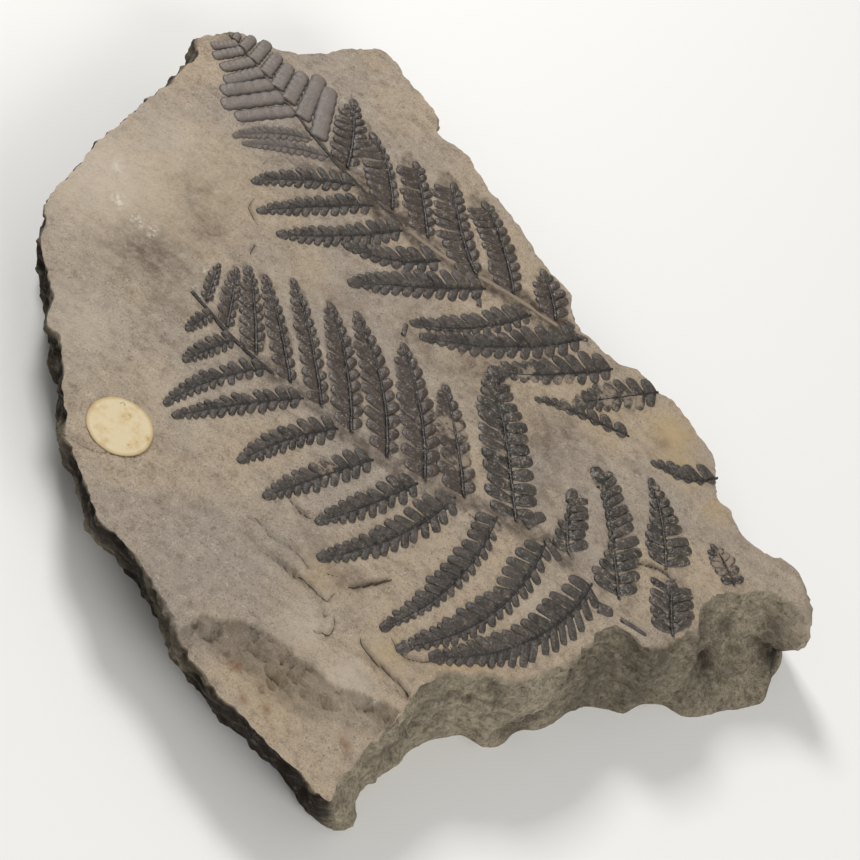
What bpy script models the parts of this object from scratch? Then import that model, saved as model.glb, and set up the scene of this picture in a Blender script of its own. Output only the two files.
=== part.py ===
"""Fossil fern plate: two carbonised fern fronds pressed on a broken slab of siltstone.

The slab lies on its back, fern side up.  All drawing values are millimetres in the plane of
the fern face: +X runs from the tips of the fronds to their bases, +Y across them to the far
edge, and z is counted up from the flat underside.  build() turns them to metres and puts the
middle of the slab's underside at the origin.
"""
import math

import bmesh
import bpy
import numpy as np

# ---------------------------------------------------------------- driving dimensions (mm)
SLAB_THICKNESS = 30.0        # flat underside to the fern face
LAYER_GAP = 0.3              # between the slab and whatever lies on it
PINNA_HEIGHT = 0.9           # ridge of a leaflet above its lower face
RACHIS_HEIGHT = 1.0
RACHIS_WIDTH = 2.0           # at the thick end of a frond
RACHIS_TIP_WIDTH = 0.9
SIDE_CLEARANCE = 0.35        # from a leaflet to the line halfway to its neighbour
STEM_CLEARANCE = 0.35        # between a leaflet and a stem
EDGE_CLEARANCE = 0.8         # between a leaflet and the rim of the fern face
LABEL_DIAMETER = 20.0
LABEL_THICKNESS = 0.4
LABEL_CENTRE = (-70.2, -71.9)
LABEL_SIDES = 40
WALL_ROUGHNESS = 0.9         # how far the broken walls stray from their smooth form
ROUGHNESS_SEED = 7

# The slab's wall, from the fern face down: share of the thickness, and how far the wall has
# gone from its upper edge to its foot when it bends in under the slab.
WALL_LEVELS = (0.0, 0.1, 0.3, 0.55, 0.8, 1.0)
UNDERCUT_SHARES = (0.0, 0.04, 0.16, 0.42, 0.73, 1.0)

# Broken near face: x and y of the upper edge, x and y of the foot, and the power of the
# profile (under 1 bulges outwards, over 1 is hollow, like a shell-shaped fracture).
NEAR_FACE = (
    (37.5, -130.5, 47.0, -112.0, 1.0), (37.3, -124.0, 47.8, -108.5, 0.9),
    (37.7, -117.0, 46.8, -104.0, 0.8), (38.6, -109.5, 46.3, -99.0, 0.8),
    (40.3, -101.0, 48.5, -93.0, 0.8), (41.6, -93.0, 51.2, -86.5, 0.8),
    (41.9, -85.5, 52.0, -78.0, 0.8), (42.4, -78.0, 55.5, -70.5, 0.7),
    (44.2, -71.0, 61.0, -62.5, 0.7), (50.5, -65.5, 66.0, -61.2, 0.6),
    (58.8, -59.8, 70.0, -60.3, 0.5), (63.8, -54.8, 75.5, -54.0, 0.55),
    (68.7, -48.0, 79.8, -46.0, 0.6), (71.8, -40.5, 83.6, -37.8, 0.6),
    (74.8, -31.0, 87.2, -28.3, 0.7), (77.5, -21.5, 90.3, -24.0, 0.8),
    (81.0, -16.2, 95.5, -20.6, 1.0), (89.6, -14.6, 100.8, -16.6, 1.2),
    (94.6, -10.5, 104.0, -9.8, 1.2), (97.2, -5.0, 110.0, -4.9, 1.0),
    (101.0, 3.6, 117.3, -3.0, 0.9), (100.0, 10.5, 123.2, 2.5, 0.9),
    (101.5, 18.8, 127.5, 9.5, 1.2), (107.2, 27.5, 132.0, 14.8, 1.7),
    (113.4, 34.2, 135.6, 19.2, 2.0), (119.6, 36.6, 138.0, 22.8, 2.2),
    (124.3, 37.6, 139.4, 26.6, 2.2), (127.0, 31.4, 140.0, 29.6, 2.2),
    (130.0, 28.8, 139.8, 32.0, 2.4), (133.6, 26.2, 138.8, 35.0, 2.6),
    (131.8, 31.0, 137.0, 38.6, 2.0), (129.1, 37.7, 133.6, 43.4, 1.6),
    (125.5, 43.7, 129.4, 47.8, 1.2),
)
# The rest of the edge: x and y of the upper edge, and how far the foot stands out beyond it,
# square to the edge.  A negative value is a wall that bends in under the slab.
OTHER_EDGES = (
    (122.3, 49.4, 3.5), (115.3, 50.8, 4.0), (111.1, 48.3, 4.5), (105.6, 47.9, 4.5),
    (99.2, 48.8, 4.5), (95.5, 50.9, 4.0), (92.4, 54.2, 3.5), (88.0, 55.1, 4.0),
    (85.3, 56.9, 4.5), (82.4, 64.6, 3.5), (77.6, 70.2, 4.0), (70.1, 74.2, 4.0),
    (64.1, 77.4, 4.0), (57.9, 80.1, 3.5), (50.7, 78.9, 4.0), (42.7, 79.9, 3.5),
    (34.0, 77.5, 4.5), (24.4, 77.8, 4.5), (16.0, 79.8, 4.5), (12.5, 84.8, 4.0),
    (9.4, 89.4, 3.5), (3.1, 92.2, 3.5), (-6.2, 94.8, 4.0), (-13.9, 99.9, 3.5),
    (-26.2, 105.0, 4.0), (-34.9, 107.8, 4.0), (-46.8, 115.8, 3.0), (-58.0, 114.5, 4.0),
    (-62.6, 121.2, 3.0), (-68.4, 123.9, 3.0), (-77.5, 127.3, 2.5), (-86.1, 130.9, 2.0),
    (-92.7, 131.8, 1.5), (-97.5, 127.5, 1.5), (-101.5, 122.3, 1.5), (-103.6, 115.7, 1.0),
    (-108.4, 107.9, 1.0), (-114.5, 101.2, 0.0), (-119.4, 97.8, -1.0), (-121.6, 98.7, -2.0),
    (-124.8, 94.6, -2.0), (-128.8, 94.4, -2.5), (-132.5, 91.0, -3.0), (-135.6, 85.3, -3.0),
    (-138.3, 81.0, -3.0), (-138.8, 76.8, -2.5), (-135.1, 71.5, -2.0), (-134.0, 62.0, -2.0),
    (-133.4, 54.9, -2.0), (-135.1, 41.0, -2.5), (-135.0, 27.0, -2.5), (-135.4, 13.8, -3.0),
    (-134.7, 0.8, -4.0), (-134.2, -8.0, -5.5), (-133.2, -15.0, -7.5), (-131.4, -22.5, -10.0),
    (-126.8, -30.5, -12.0), (-121.0, -38.5, -11.0), (-115.5, -43.2, -10.5),
    (-109.4, -49.6, -11.0), (-106.2, -58.8, -14.0), (-100.7, -58.4, -12.0),
    (-96.5, -63.0, -10.5), (-92.6, -69.0, -10.0), (-88.2, -75.5, -10.5),
    (-83.4, -80.6, -12.5), (-80.5, -86.3, -16.5), (-71.9, -91.3, -18.0),
    (-66.3, -95.3, -19.0), (-61.5, -99.8, -17.0), (-54.3, -102.9, -16.5),
    (-48.3, -102.9, -14.5), (-40.8, -104.8, -15.0), (-31.9, -108.2, -14.5),
    (-26.0, -111.5, -15.0), (-19.2, -113.8, -14.0), (-9.0, -119.5, -13.5),
    (-2.1, -123.3, -13.0), (5.2, -125.2, -13.0), (11.1, -126.9, -15.5), (19.3, -127.8, -17.5),
    (28.7, -128.4, -15.5), (34.0, -129.8, -13.5),
)
# Terraces: the fern face is one bedding plane, and towards the near corner two thin layers
# have split off it.  Depth below the fern face, and the outline of what is missing.
TERRACES = (
    (0.8, ((-22, -75.6), (-8, -74.6), (0, -76.4), (6.5, -78.2), (7.5, -80.5), (11, -81),
           (12, -87), (27, -84), (36, -85.5), (60, -89), (60, -150), (-18, -150),
           (-18.5, -113.2), (-30, -105), (-34, -90), (-30, -80))),
    (2.6, ((-9.5, -97.5), (-2, -95.5), (6, -97), (14, -99.5), (24, -98.5), (38, -101.5),
           (58, -103), (58, -148), (-13, -148), (-14.5, -112), (-16.5, -104))),
)

# ---------------------------------------------------------------- the two fronds (mm)
UPPER_RACHIS = ((12.5, 73.4), (4, 72.6), (-8, 71.0), (-24, 67.6), (-40, 66.3), (-54, 66.8),
                (-65, 68.2), (-76, 70.4), (-84, 73.1), (-92, 75.8))
UPPER_TIP_RACHIS = ((-93.5, 76.4), (-99, 78.4), (-105, 80.2), (-111, 82.0), (-118, 84.8),
                    (-125, 87.0), (-130.6, 88.5))
MIDDLE_RACHIS = ((97.5, -6.2), (88, -8.2), (77, -9.0), (66, -8.3), (56.5, -6.6), (46.5, -7.2),
                 (37.5, -8.6), (28, -11.2), (20, -13.6), (8, -17.6), (-5.6, -20.3),
                 (-18.6, -20.6), (-30, -19.4), (-42, -19.6), (-53.7, -19.7), (-63.5, -18.5),
                 (-72.6, -16.1), (-82, -13.6))

# Entire leaflets at the tip of the upper frond: root, tip and width.
TIP_BLADES = (
    ((-131.2, 88.2), (-136.8, 80.8), 3.0), ((-128.0, 87.6), (-134.0, 77.2), 3.6),
    ((-124.4, 86.6), (-130.4, 75.0), 4.0), ((-119.8, 85.2), (-122.0, 69.0), 5.2),
    ((-114.8, 83.4), (-120.0, 63.6), 4.2), ((-109.0, 81.2), (-114.2, 59.8), 4.4),
    ((-103.0, 79.4), (-111.0, 58.8), 4.2),
    ((-130.2, 88.6), (-130.6, 92.0), 2.4), ((-126.6, 87.6), (-126.6, 93.4), 3.6),
    ((-122.2, 86.4), (-121.6, 98.0), 3.8), ((-117.2, 84.8), (-116.4, 95.2), 4.2),
    ((-111.6, 82.6), (-111.2, 93.6), 4.4), ((-106.2, 80.8), (-106.0, 94.6), 4.6),
    ((-100.4, 79.0), (-101.8, 99.8), 4.8), ((-94.6, 77.0), (-97.6, 98.0), 5.2),
)

# Lobed leaflets (pinnae): name, root, tip, bow of the midrib (+ towards the frond's tip),
# lobes on each side, and how far the lobes reach from the midrib on the side of the frond's
# tip and on the side of its base.
LOBED_PINNAE = (
    ("upper_left_pinna_01", (-88.4, 72.6), (-106.9, 52.0), 2.0, 8, 3.4, 2.8),
    ("upper_left_pinna_02", (-80.6, 70.6), (-103.2, 52.0), 1.1, 9, 3.4, 3.0),
    ("upper_left_pinna_03", (-68.0, 67.0), (-92.2, 40.4), 1.4, 10, 5.0, 4.0),
    ("upper_left_pinna_04", (-59.2, 64.3), (-84.5, 31.5), 0.5, 12, 4.6, 4.2),
    ("upper_left_pinna_05", (-46.6, 63.9), (-74.9, 28.4), -1.6, 13, 5.0, 5.0),
    ("upper_left_pinna_06", (-30.9, 63.6), (-56.8, 42.5), -3.2, 8, 6.6, 4.0),
    ("upper_left_pinna_07", (-14.0, 65.5), (-48.0, 30.6), -0.5, 12, 7.2, 5.2),
    ("upper_left_pinna_08", (3.1, 68.9), (-25.0, 32.6), -3.4, 12, 6.4, 3.0),
    ("upper_left_pinna_09", (21.0, 74.9), (-19.9, 31.0), -3.8, 13, 6.4, 5.0),
    ("upper_left_pinna_10", (34.9, 73.0), (5.3, 38.4), -1.6, 10, 7.0, 4.2),
    ("upper_left_pinna_11", (51.6, 77.8), (31.6, 49.8), 0.4, 8, 6.4, 5.6),
    ("upper_left_pinna_12", (51.6, 53.4), (20.6, 40.2), 0.6, 7, 4.4, 1.8),
    ("upper_left_pinna_13", (83.0, 62.4), (62.6, 49.7), -4.0, 5, 6.5, 1.5),
    ("upper_right_pinna_01", (-73.5, 72.6), (-87.2, 100.9), -0.9, 8, 6.4, 3.6),
    ("upper_right_pinna_02", (-53.5, 69.4), (-75.1, 92.9), -2.4, 7, 8.2, 1.7),
    ("upper_right_pinna_03", (-38.8, 69.3), (-57.7, 94.6), -0.5, 8, 6.8, 2.6),
    ("upper_right_pinna_04", (-18.6, 68.5), (-43.4, 98.0), 1.9, 9, 7.3, 3.3),
    ("upper_right_pinna_05", (-5.7, 72.7), (-31.9, 100.0), -2.0, 10, 7.3, 3.3),
    ("upper_right_pinna_06", (10.5, 75.2), (-2.2, 90.5), -0.9, 5, 5.7, 5.2),
    ("middle_left_pinna_01", (-73.0, -15.6), (-75.2, -27.0), 0.2, 4, 2.8, 2.6),
    ("middle_left_pinna_02", (-62.6, -18.6), (-69.6, -37.0), 0.3, 7, 4.2, 3.0),
    ("middle_left_pinna_03", (-50.2, -20.2), (-65.0, -55.0), 2.2, 11, 4.2, 3.2),
    ("middle_left_pinna_04", (-36.0, -21.0), (-60.8, -56.6), 0.9, 12, 4.2, 4.2),
    ("middle_left_pinna_05", (-22.2, -21.8), (-38.0, -55.0), 1.6, 10, 5.0, 4.6),
    ("middle_left_pinna_06", (-8.2, -23.2), (-25.8, -59.8), 0.4, 11, 5.2, 4.6),
    ("middle_left_pinna_07", (6.6, -19.6), (-9.6, -55.4), -0.8, 10, 5.2, 4.4),
    ("middle_left_pinna_08", (18.2, -15.4), (-2.8, -65.8), -3.4, 14, 6.0, 5.4),
    ("middle_left_pinna_09", (32.0, -11.4), (23.4, -72.2), -5.0, 17, 6.4, 3.0),
    ("middle_left_pinna_10", (48.6, -8.6), (30.6, -74.6), -7.4, 18, 7.0, 4.0),
    ("middle_left_pinna_11", (67.0, -9.6), (39.6, -69.8), -7.8, 17, 7.2, 7.4),
    ("middle_right_pinna_01", (-76.8, -13.0), (-81.6, 2.2), 0.2, 5, 2.4, 1.4),
    ("middle_right_pinna_02", (-67.0, -16.0), (-76.8, 5.4), -0.2, 6, 3.6, 1.7),
    ("middle_right_pinna_03", (-55.2, -17.6), (-74.4, 9.2), -0.6, 9, 4.8, 2.2),
    ("middle_right_pinna_04", (-42.0, -18.2), (-69.0, 10.6), -0.8, 9, 4.6, 2.0),
    ("middle_right_pinna_05", (-30.2, -18.2), (-61.8, 16.6), -1.3, 12, 4.8, 2.2),
    ("middle_right_pinna_06", (-18.4, -19.2), (-48.2, 17.6), -2.2, 11, 6.2, 3.2),
    ("middle_right_pinna_07", (-5.6, -18.2), (-40.2, 21.6), -3.4, 12, 6.4, 3.2),
    ("middle_right_pinna_08", (7.6, -16.4), (-22.4, 23.0), -2.2, 11, 7.2, 4.2),
    ("middle_right_pinna_09", (20.2, -12.4), (-4.2, 20.2), -0.6, 9, 6.8, 3.6),
    ("middle_right_pinna_10", (37.0, -7.4), (4.2, 39.4), -0.8, 13, 8.6, 8.0),
    ("middle_right_pinna_11", (56.2, -4.8), (46.9, 17.2), 1.4, 6, 4.0, 7.1),
    ("middle_right_pinna_12", (76.2, -7.0), (49.3, 31.2), -0.9, 12, 4.4, 9.0),
    ("middle_right_pinna_13", (83.9, 15.1), (65.3, 42.5), -1.3, 9, 5.4, 8.0),
    ("middle_right_pinna_14", (96.3, -5.6), (87.7, 11.9), 0.7, 6, 6.8, 8.2),
    ("middle_right_pinna_15", (105.0, 28.0), (93.0, 36.0), -0.6, 5, 4.6, 4.2),
)
# Single lobes that have come off: name, root, tip and width.
LOOSE_LOBES = (
    ("loose_pinnule_01", (40.6, -5.6), (43.2, 1.6), 3.8),
    ("loose_pinnule_02", (72.6, -15.0), (77.0, -13.4), 3.6),
)

LEAN_TIP_SIDE = math.radians(70)        # between lobe and midrib
LEAN_BASE_SIDE = math.radians(56)
LOBE_NOTCH = 0.42            # depth of the notch between lobes, as a share of their reach
SHOULDER_SPREAD = 0.27       # half width of a lobe's blunt end, in lobe spacings
TAPER_START = 0.45           # where along the midrib the lobes begin to shorten
TIP_REACH = 0.25             # reach of the last lobe, as a share of the longest
FIRST_REACH = 0.8            # reach of the first lobe
TIP_BEYOND_STEM = (-1.7, 0.5)           # from the end of the upper stem to its last point
BLADE_FOOT = 1.0             # from the middle of the stem to the base of an entire leaflet
TRACK_STEPS = 48             # points along a leaflet, for measuring distances
STEM_TRACK_STEPS = 240       # points along a stem, for the same

MATERIALS = {
    "siltstone": ((0.36, 0.31, 0.26, 1.0), 0.85),
    "carbon_film": ((0.075, 0.066, 0.060, 1.0), 0.42),
    "paper": ((0.80, 0.70, 0.50, 1.0), 0.8),
}


def clear_scene():
    for thing in list(bpy.data.objects):
        bpy.data.objects.remove(thing, do_unlink=True)


def make_material(name):
    colour, roughness = MATERIALS[name]
    material = bpy.data.materials.new(name)
    material.use_nodes = True
    shader = material.node_tree.nodes["Principled BSDF"]
    shader.inputs["Base Color"].default_value = colour
    shader.inputs["Roughness"].default_value = roughness
    shader.inputs["Metallic"].default_value = 0.0
    return material


def unit(vectors):
    """Vectors along the last axis, each made one long."""
    vectors = np.asarray(vectors, float)
    return vectors / np.linalg.norm(vectors, axis=-1, keepdims=True)


def left_of(vectors):
    """Each plane vector turned a quarter turn to the left."""
    vectors = np.asarray(vectors, float)
    return np.stack([-vectors[..., 1], vectors[..., 0]], axis=-1)


# ---------------------------------------------------------------- slab
def edge_normals(points, reach):
    """Outward directions of a closed outline, smoothed over reach neighbours each way."""
    ahead = np.roll(points, -reach, axis=0)
    behind = np.roll(points, reach, axis=0)
    return -left_of(unit(ahead - behind))


def slab_rings():
    """Rings of the slab's wall from the fern face down, each an array of x, y and z."""
    near = np.array(NEAR_FACE)
    other = np.array(OTHER_EDGES)
    top = np.vstack([near[:, :2], other[:, :2]])
    normals = edge_normals(top, 4)[len(near):]
    foot = np.vstack([near[:, 2:4], other[:, :2] + normals * other[:, 2:3]])
    powers = np.concatenate([near[:, 4], np.full(len(other), 0.8)])
    undercut = np.concatenate([np.zeros(len(near), bool), other[:, 2] < -5.0])
    noise = np.random.default_rng(ROUGHNESS_SEED)
    rings = []
    for level, bent_share in zip(WALL_LEVELS, UNDERCUT_SHARES):
        share = np.where(undercut, bent_share, level ** powers)[:, None]
        stray = noise.uniform(-WALL_ROUGHNESS, WALL_ROUGHNESS, (len(top), 2))
        if level in (0.0, 1.0):
            stray[:] = 0.0
        plane = top + (foot - top) * share + stray
        height = np.full((len(top), 1), SLAB_THICKNESS * (1.0 - level))
        rings.append(np.hstack([plane, height]))
    return rings


def drawing_centre():
    """Middle of the slab's box in the drawing; build() moves it to the origin."""
    points = np.vstack(slab_rings())[:, :2]
    return (points.min(axis=0) + points.max(axis=0)) / 2


def to_metres(points, centre):
    """Drawing points in millimetres, as positions in metres around the slab's middle."""
    points = np.asarray(points, float).copy()
    points[:, :2] -= centre
    return points * 0.001


def add_object(name, mesh, material):
    thing = bpy.data.objects.new(name, mesh)
    bpy.context.scene.collection.objects.link(thing)
    mesh.materials.append(material)
    return thing


def mesh_from(name, points, faces, centre):
    """A mesh of drawing points; its faces are turned to point outwards."""
    mesh = bpy.data.meshes.new(name)
    mesh.from_pydata(to_metres(points, centre).tolist(), [], faces)
    work = bmesh.new()
    work.from_mesh(mesh)
    bmesh.ops.recalc_face_normals(work, faces=work.faces)
    work.to_mesh(mesh)
    work.free()
    return mesh


def prism(name, outline, bottom, top, centre):
    """A closed prism over an outline, from one height to another."""
    outline = np.asarray(outline, float)
    count = len(outline)
    low = np.hstack([outline, np.full((count, 1), bottom)])
    high = np.hstack([outline, np.full((count, 1), top)])
    faces = [list(range(count))[::-1], list(range(count, 2 * count))]
    for i in range(count):
        j = (i + 1) % count
        faces.append([i, j, count + j, count + i])
    return mesh_from(name, np.vstack([low, high]), faces, centre)


def cut(thing, cutter):
    """Take the cutter's volume away from thing, as a modifier that stays on it.

    The exact solver loses the slab at the second cut, so this one is the manifold solver;
    both meshes are closed, as it needs.
    """
    cutter.hide_render = True
    cutter.display_type = 'WIRE'
    modifier = thing.modifiers.new("cut_" + cutter.name, 'BOOLEAN')
    modifier.operation = 'DIFFERENCE'
    modifier.solver = 'MANIFOLD'
    modifier.object = cutter


def build_slab(centre, material):
    rings = slab_rings()
    count = len(rings[0])
    faces = [list(range(count))]
    for level in range(len(rings) - 1):
        for i in range(count):
            j = (i + 1) % count
            here, below = level * count, (level + 1) * count
            faces.append([here + i, below + i, below + j, here + j])
    last = (len(rings) - 1) * count
    faces.append([last + i for i in range(count)][::-1])
    slab = add_object("rock_slab", mesh_from("rock_slab", np.vstack(rings), faces, centre),
                      material)
    above = SLAB_THICKNESS + 5.0
    for number, (depth, outline) in enumerate(TERRACES, 1):
        name = f"terrace_cutter_{number}"
        mesh = prism(name, outline, SLAB_THICKNESS - depth, above + depth, centre)
        cut(slab, add_object(name, mesh, material))
    return slab


# ---------------------------------------------------------------- leaflets
def smooth_path(points, count):
    """Stations at equal spacing on a Catmull-Rom curve through the given points."""
    points = np.array(points, float)
    padded = np.vstack([2 * points[0] - points[1], points, 2 * points[-1] - points[-2]])
    pieces = []
    for i in range(1, len(padded) - 2):
        before, start, end, after = padded[i - 1:i + 3]
        t = np.linspace(0, 1, 12, endpoint=False)[:, None]
        pieces.append(0.5 * (2 * start + (end - before) * t
                             + (2 * before - 5 * start + 4 * end - after) * t ** 2
                             + (3 * start - before - 3 * end + after) * t ** 3))
    pieces.append(points[-1:])
    dense = np.vstack(pieces)
    run = np.concatenate([[0], np.cumsum(np.linalg.norm(np.diff(dense, axis=0), axis=1))])
    wanted = np.linspace(0, run[-1], count)
    return np.stack([np.interp(wanted, run, dense[:, k]) for k in (0, 1)], axis=-1)


def midrib(root, tip, bow):
    """Function of s from 0 to 1: a parabola from root to tip, bowed towards -X by bow."""
    root, tip = np.array(root, float), np.array(tip, float)
    side = left_of(unit(tip - root))
    side = side if side[0] < 0 else -side

    def at(s):
        s = np.asarray(s, float)[..., None]
        return root + (tip - root) * s + side * bow * 4 * s * (1 - s)
    return at


def slope(curve, s):
    """Unit direction of a curve at s."""
    return unit(curve(min(s + 0.01, 1.0)) - curve(max(s - 0.01, 0.0)))


def lobe_reach(s):
    """Reach of the lobes along the midrib, as a share of the longest."""
    growing = FIRST_REACH + (1 - FIRST_REACH) * min(s / 0.15, 1.0)
    if s < TAPER_START:
        return growing
    fading = (s - TAPER_START) / (1 - TAPER_START)
    return growing * (1 - (1 - TIP_REACH) * fading ** 1.6)


class Pinna:
    """One lobed leaflet: its midrib and the reach of its lobes on either side."""

    def __init__(self, name, root, tip, bow, lobes, tip_side_reach, base_side_reach):
        self.name = name
        self.lobes = lobes
        self.set_curve(midrib(root, tip, bow))
        left_is_tip_side = left_of(self.track[-1] - self.track[0])[0] < 0
        tip_side = (tip_side_reach, LEAN_TIP_SIDE)
        base_side = (base_side_reach, LEAN_BASE_SIDE)
        self.sides = {1: tip_side if left_is_tip_side else base_side,
                      -1: base_side if left_is_tip_side else tip_side}

    def set_curve(self, curve):
        self.curve = curve
        self.track = curve(np.linspace(0, 1, TRACK_STEPS))
        self.length = float(np.linalg.norm(self.track[-1] - self.track[0]))

    def start_clear_of_stems(self, ground):
        """Cut the root of the midrib back to where it is clear of every stem."""
        whole = self.curve
        start = next(s for s in np.linspace(0, 0.4, 41) if ground.clear_of_stems(whole(s)))
        self.set_curve(lambda s: whole(start + (1 - start) * np.asarray(s, float)))

    def distance(self, point):
        """Distance of a point from the midrib, and the reach of the lobes on its side."""
        gaps = np.linalg.norm(self.track - point, axis=1)
        nearest = int(np.argmin(gaps))
        s = nearest / (TRACK_STEPS - 1)
        side = left_of(slope(self.curve, s))
        sign = 1 if np.dot(point - self.track[nearest], side) >= 0 else -1
        return gaps[nearest], self.sides[sign][0] * lobe_reach(s)


class Ground:
    """What a leaflet has to stay clear of: its neighbours, the stems and the slab's edge."""

    def __init__(self, pinnae, stems, edge):
        self.pinnae = pinnae
        self.stems = stems
        self.edge = edge

    def clear_of_stems(self, point):
        """True where every stem's side is at least the clearance away."""
        for path, half_width in self.stems:
            if (np.linalg.norm(path - point, axis=1) - half_width).min() < STEM_CLEARANCE:
                return False
        return True

    def on_slab(self, point):
        """True inside the fern face, at least the edge clearance from its rim."""
        start, end = self.edge, np.roll(self.edge, -1, axis=0)
        along = end - start
        share = np.clip(((point - start) * along).sum(1) / (along * along).sum(1), 0, 1)
        nearest = start + along * share[:, None]
        if np.linalg.norm(nearest - point, axis=1).min() < EDGE_CLEARANCE:
            return False
        crosses = (start[:, 1] > point[1]) != (end[:, 1] > point[1])
        rise = np.where(crosses, along[:, 1], 1.0)
        at_x = start[:, 0] + (point[1] - start[:, 1]) / rise * along[:, 0]
        return bool(np.sum(crosses & (at_x > point[0])) % 2)

    def is_free(self, point, own):
        """True where a point belongs to one leaflet more than to any of its neighbours."""
        if not self.clear_of_stems(point) or not self.on_slab(point):
            return False
        own_gap, own_reach = own.distance(point)
        for other in self.pinnae:
            if other is own:
                continue
            gap, reach = other.distance(point)
            if gap > 2.5 * reach + own_reach:
                continue
            if (gap / reach - own_gap / own_reach) * min(reach, own_reach) < SIDE_CLEARANCE:
                return False
        return True

    def pulled_in(self, point, anchor, own):
        """The point, moved towards its anchor on the midrib until it is free."""
        for keep in np.linspace(1.0, 0.1, 19):
            trial = anchor + (point - anchor) * keep
            if self.is_free(trial, own):
                break
        return trial


def comb_mesh(name, rib, left, right, centre):
    """A thin leaf, flat below, that rises to a ridge along its rib.

    rib is a list of plan points from the root to the tip.  left and right are the margins,
    each a list of (rib index, plan point) from the root to the tip.
    """
    low = SLAB_THICKNESS + LAYER_GAP
    high = low + PINNA_HEIGHT
    last = len(rib) - 2
    points = [(*p, high) for p in rib[:-1]]
    root = len(points)
    points.append((*rib[0], low))
    tip = len(points)
    points.append((*rib[-1], low))
    faces = []
    outlines = []
    for margin in (left, right):
        first = len(points)
        points += [(*p, low) for _, p in margin]
        chain = [root] + list(range(first, first + len(margin))) + [tip]
        ribs = [0] + [k for k, _ in margin] + [last]
        for a, b, k_a, k_b in zip(chain[:-1], chain[1:], ribs[:-1], ribs[1:]):
            faces += [(k, a, k + 1) for k in range(k_a, k_b)]
            faces.append((k_b, a, b))
        outlines.append(chain)
    faces.append(outlines[0] + outlines[1][-2:0:-1])
    return mesh_from(name, points, faces, centre)


def lobe_margin(pinna, sign, ground):
    """One side of a lobed leaflet: for each lobe the notch before it and its blunt end."""
    reach, lean = pinna.sides[sign]
    spacing = 1.0 / (pinna.lobes + 0.6)
    margin = []
    for number in range(pinna.lobes):
        along = slope(pinna.curve, (number + 0.5) * spacing)
        axis = along * math.cos(lean) + left_of(along) * sign * math.sin(lean)
        start = number * spacing
        if number > 0:
            anchor = pinna.curve(start)
            notch = anchor + axis * reach * lobe_reach(start) * LOBE_NOTCH
            margin.append((number, ground.pulled_in(notch, anchor, pinna)))
        anchor = pinna.curve(start + 0.5 * spacing)
        end = anchor + axis * reach * lobe_reach(start + 0.5 * spacing)
        for shift in (-SHOULDER_SPREAD, SHOULDER_SPREAD):
            shoulder = end + along * shift * spacing * pinna.length
            margin.append((number, ground.pulled_in(shoulder, anchor, pinna)))
    return margin


def build_pinna(pinna, ground, centre, material):
    spacing = 1.0 / (pinna.lobes + 0.6)
    rib = [pinna.curve(i * spacing) for i in range(pinna.lobes)] + [pinna.curve(1.0)]
    margins = [lobe_margin(pinna, sign, ground) for sign in (1, -1)]
    return add_object(pinna.name, comb_mesh(pinna.name, rib, *margins, centre), material)


def blade_corners(root, tip, width):
    """The corners of an entire leaflet: base, tip, tip and base, going towards -X."""
    root, tip = np.array(root, float), np.array(tip, float)
    along = unit(tip - root)
    side = left_of(along)
    side = side if side[0] < 0 else -side
    root = root + along * BLADE_FOOT
    base_half, tip_half = side * width * 0.36, side * width * 0.28
    return [root - base_half, tip - tip_half, tip + tip_half, root + base_half]


def build_frond_tip(centre, material):
    """The tip of the upper frond: entire leaflets that grow from one thin stem."""
    stem = smooth_path(UPPER_TIP_RACHIS, TRACK_STEPS)

    def place(root):
        return int(np.argmin(np.linalg.norm(stem - np.array(root), axis=1)))
    stations = sorted({place(root) for root, _, _ in TIP_BLADES})
    rib = [stem[i] for i in stations] + [stem[-1] + np.array(TIP_BEYOND_STEM)]
    margins = {1: [], -1: []}
    for root, tip, width in sorted(TIP_BLADES, key=lambda blade: place(blade[0])):
        index = stations.index(place(root))
        sign = 1 if tip[1] < root[1] else -1
        margins[sign] += [(index, corner) for corner in blade_corners(root, tip, width)]
    mesh = comb_mesh("upper_frond_tip", rib, margins[1], margins[-1], centre)
    return add_object("upper_frond_tip", mesh, material)


def rachis_widths(count):
    """Half widths of a stem from its thick end to its thin one."""
    return np.linspace(RACHIS_WIDTH, RACHIS_TIP_WIDTH, count) / 2


def build_rachis(name, path, centre, material):
    """A stem with a triangular section: flat below, with a ridge along its middle."""
    count = len(path)
    stations = smooth_path(path, count)
    side = left_of(unit(np.gradient(stations, axis=0))) * rachis_widths(count)[:, None]
    low = SLAB_THICKNESS + LAYER_GAP
    rows = [np.column_stack([stations + side, np.full(count, low)]),
            np.column_stack([stations, np.full(count, low + RACHIS_HEIGHT)]),
            np.column_stack([stations - side, np.full(count, low)])]
    faces = [(0, count, 2 * count), (count - 1, 3 * count - 1, 2 * count - 1)]
    for i in range(count - 1):
        for a, b in ((0, 1), (1, 2), (2, 0)):
            faces.append((a * count + i, a * count + i + 1, b * count + i + 1, b * count + i))
    return add_object(name, mesh_from(name, np.vstack(rows), faces, centre), material)


def build_loose_lobe(name, root, tip, width, centre, material):
    """A lobe that lies by itself: a low gable over a rounded outline."""
    root, tip = np.array(root, float), np.array(tip, float)
    half = left_of(unit(tip - root)) * width / 2
    rib = [root, root + (tip - root) * 0.3, root + (tip - root) * 0.75, tip]
    left = [(0, rib[0] + half * 0.6), (1, rib[1] + half), (2, rib[2] + half)]
    right = [(0, rib[0] - half * 0.6), (1, rib[1] - half), (2, rib[2] - half)]
    return add_object(name, comb_mesh(name, rib, left, right, centre), material)


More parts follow.
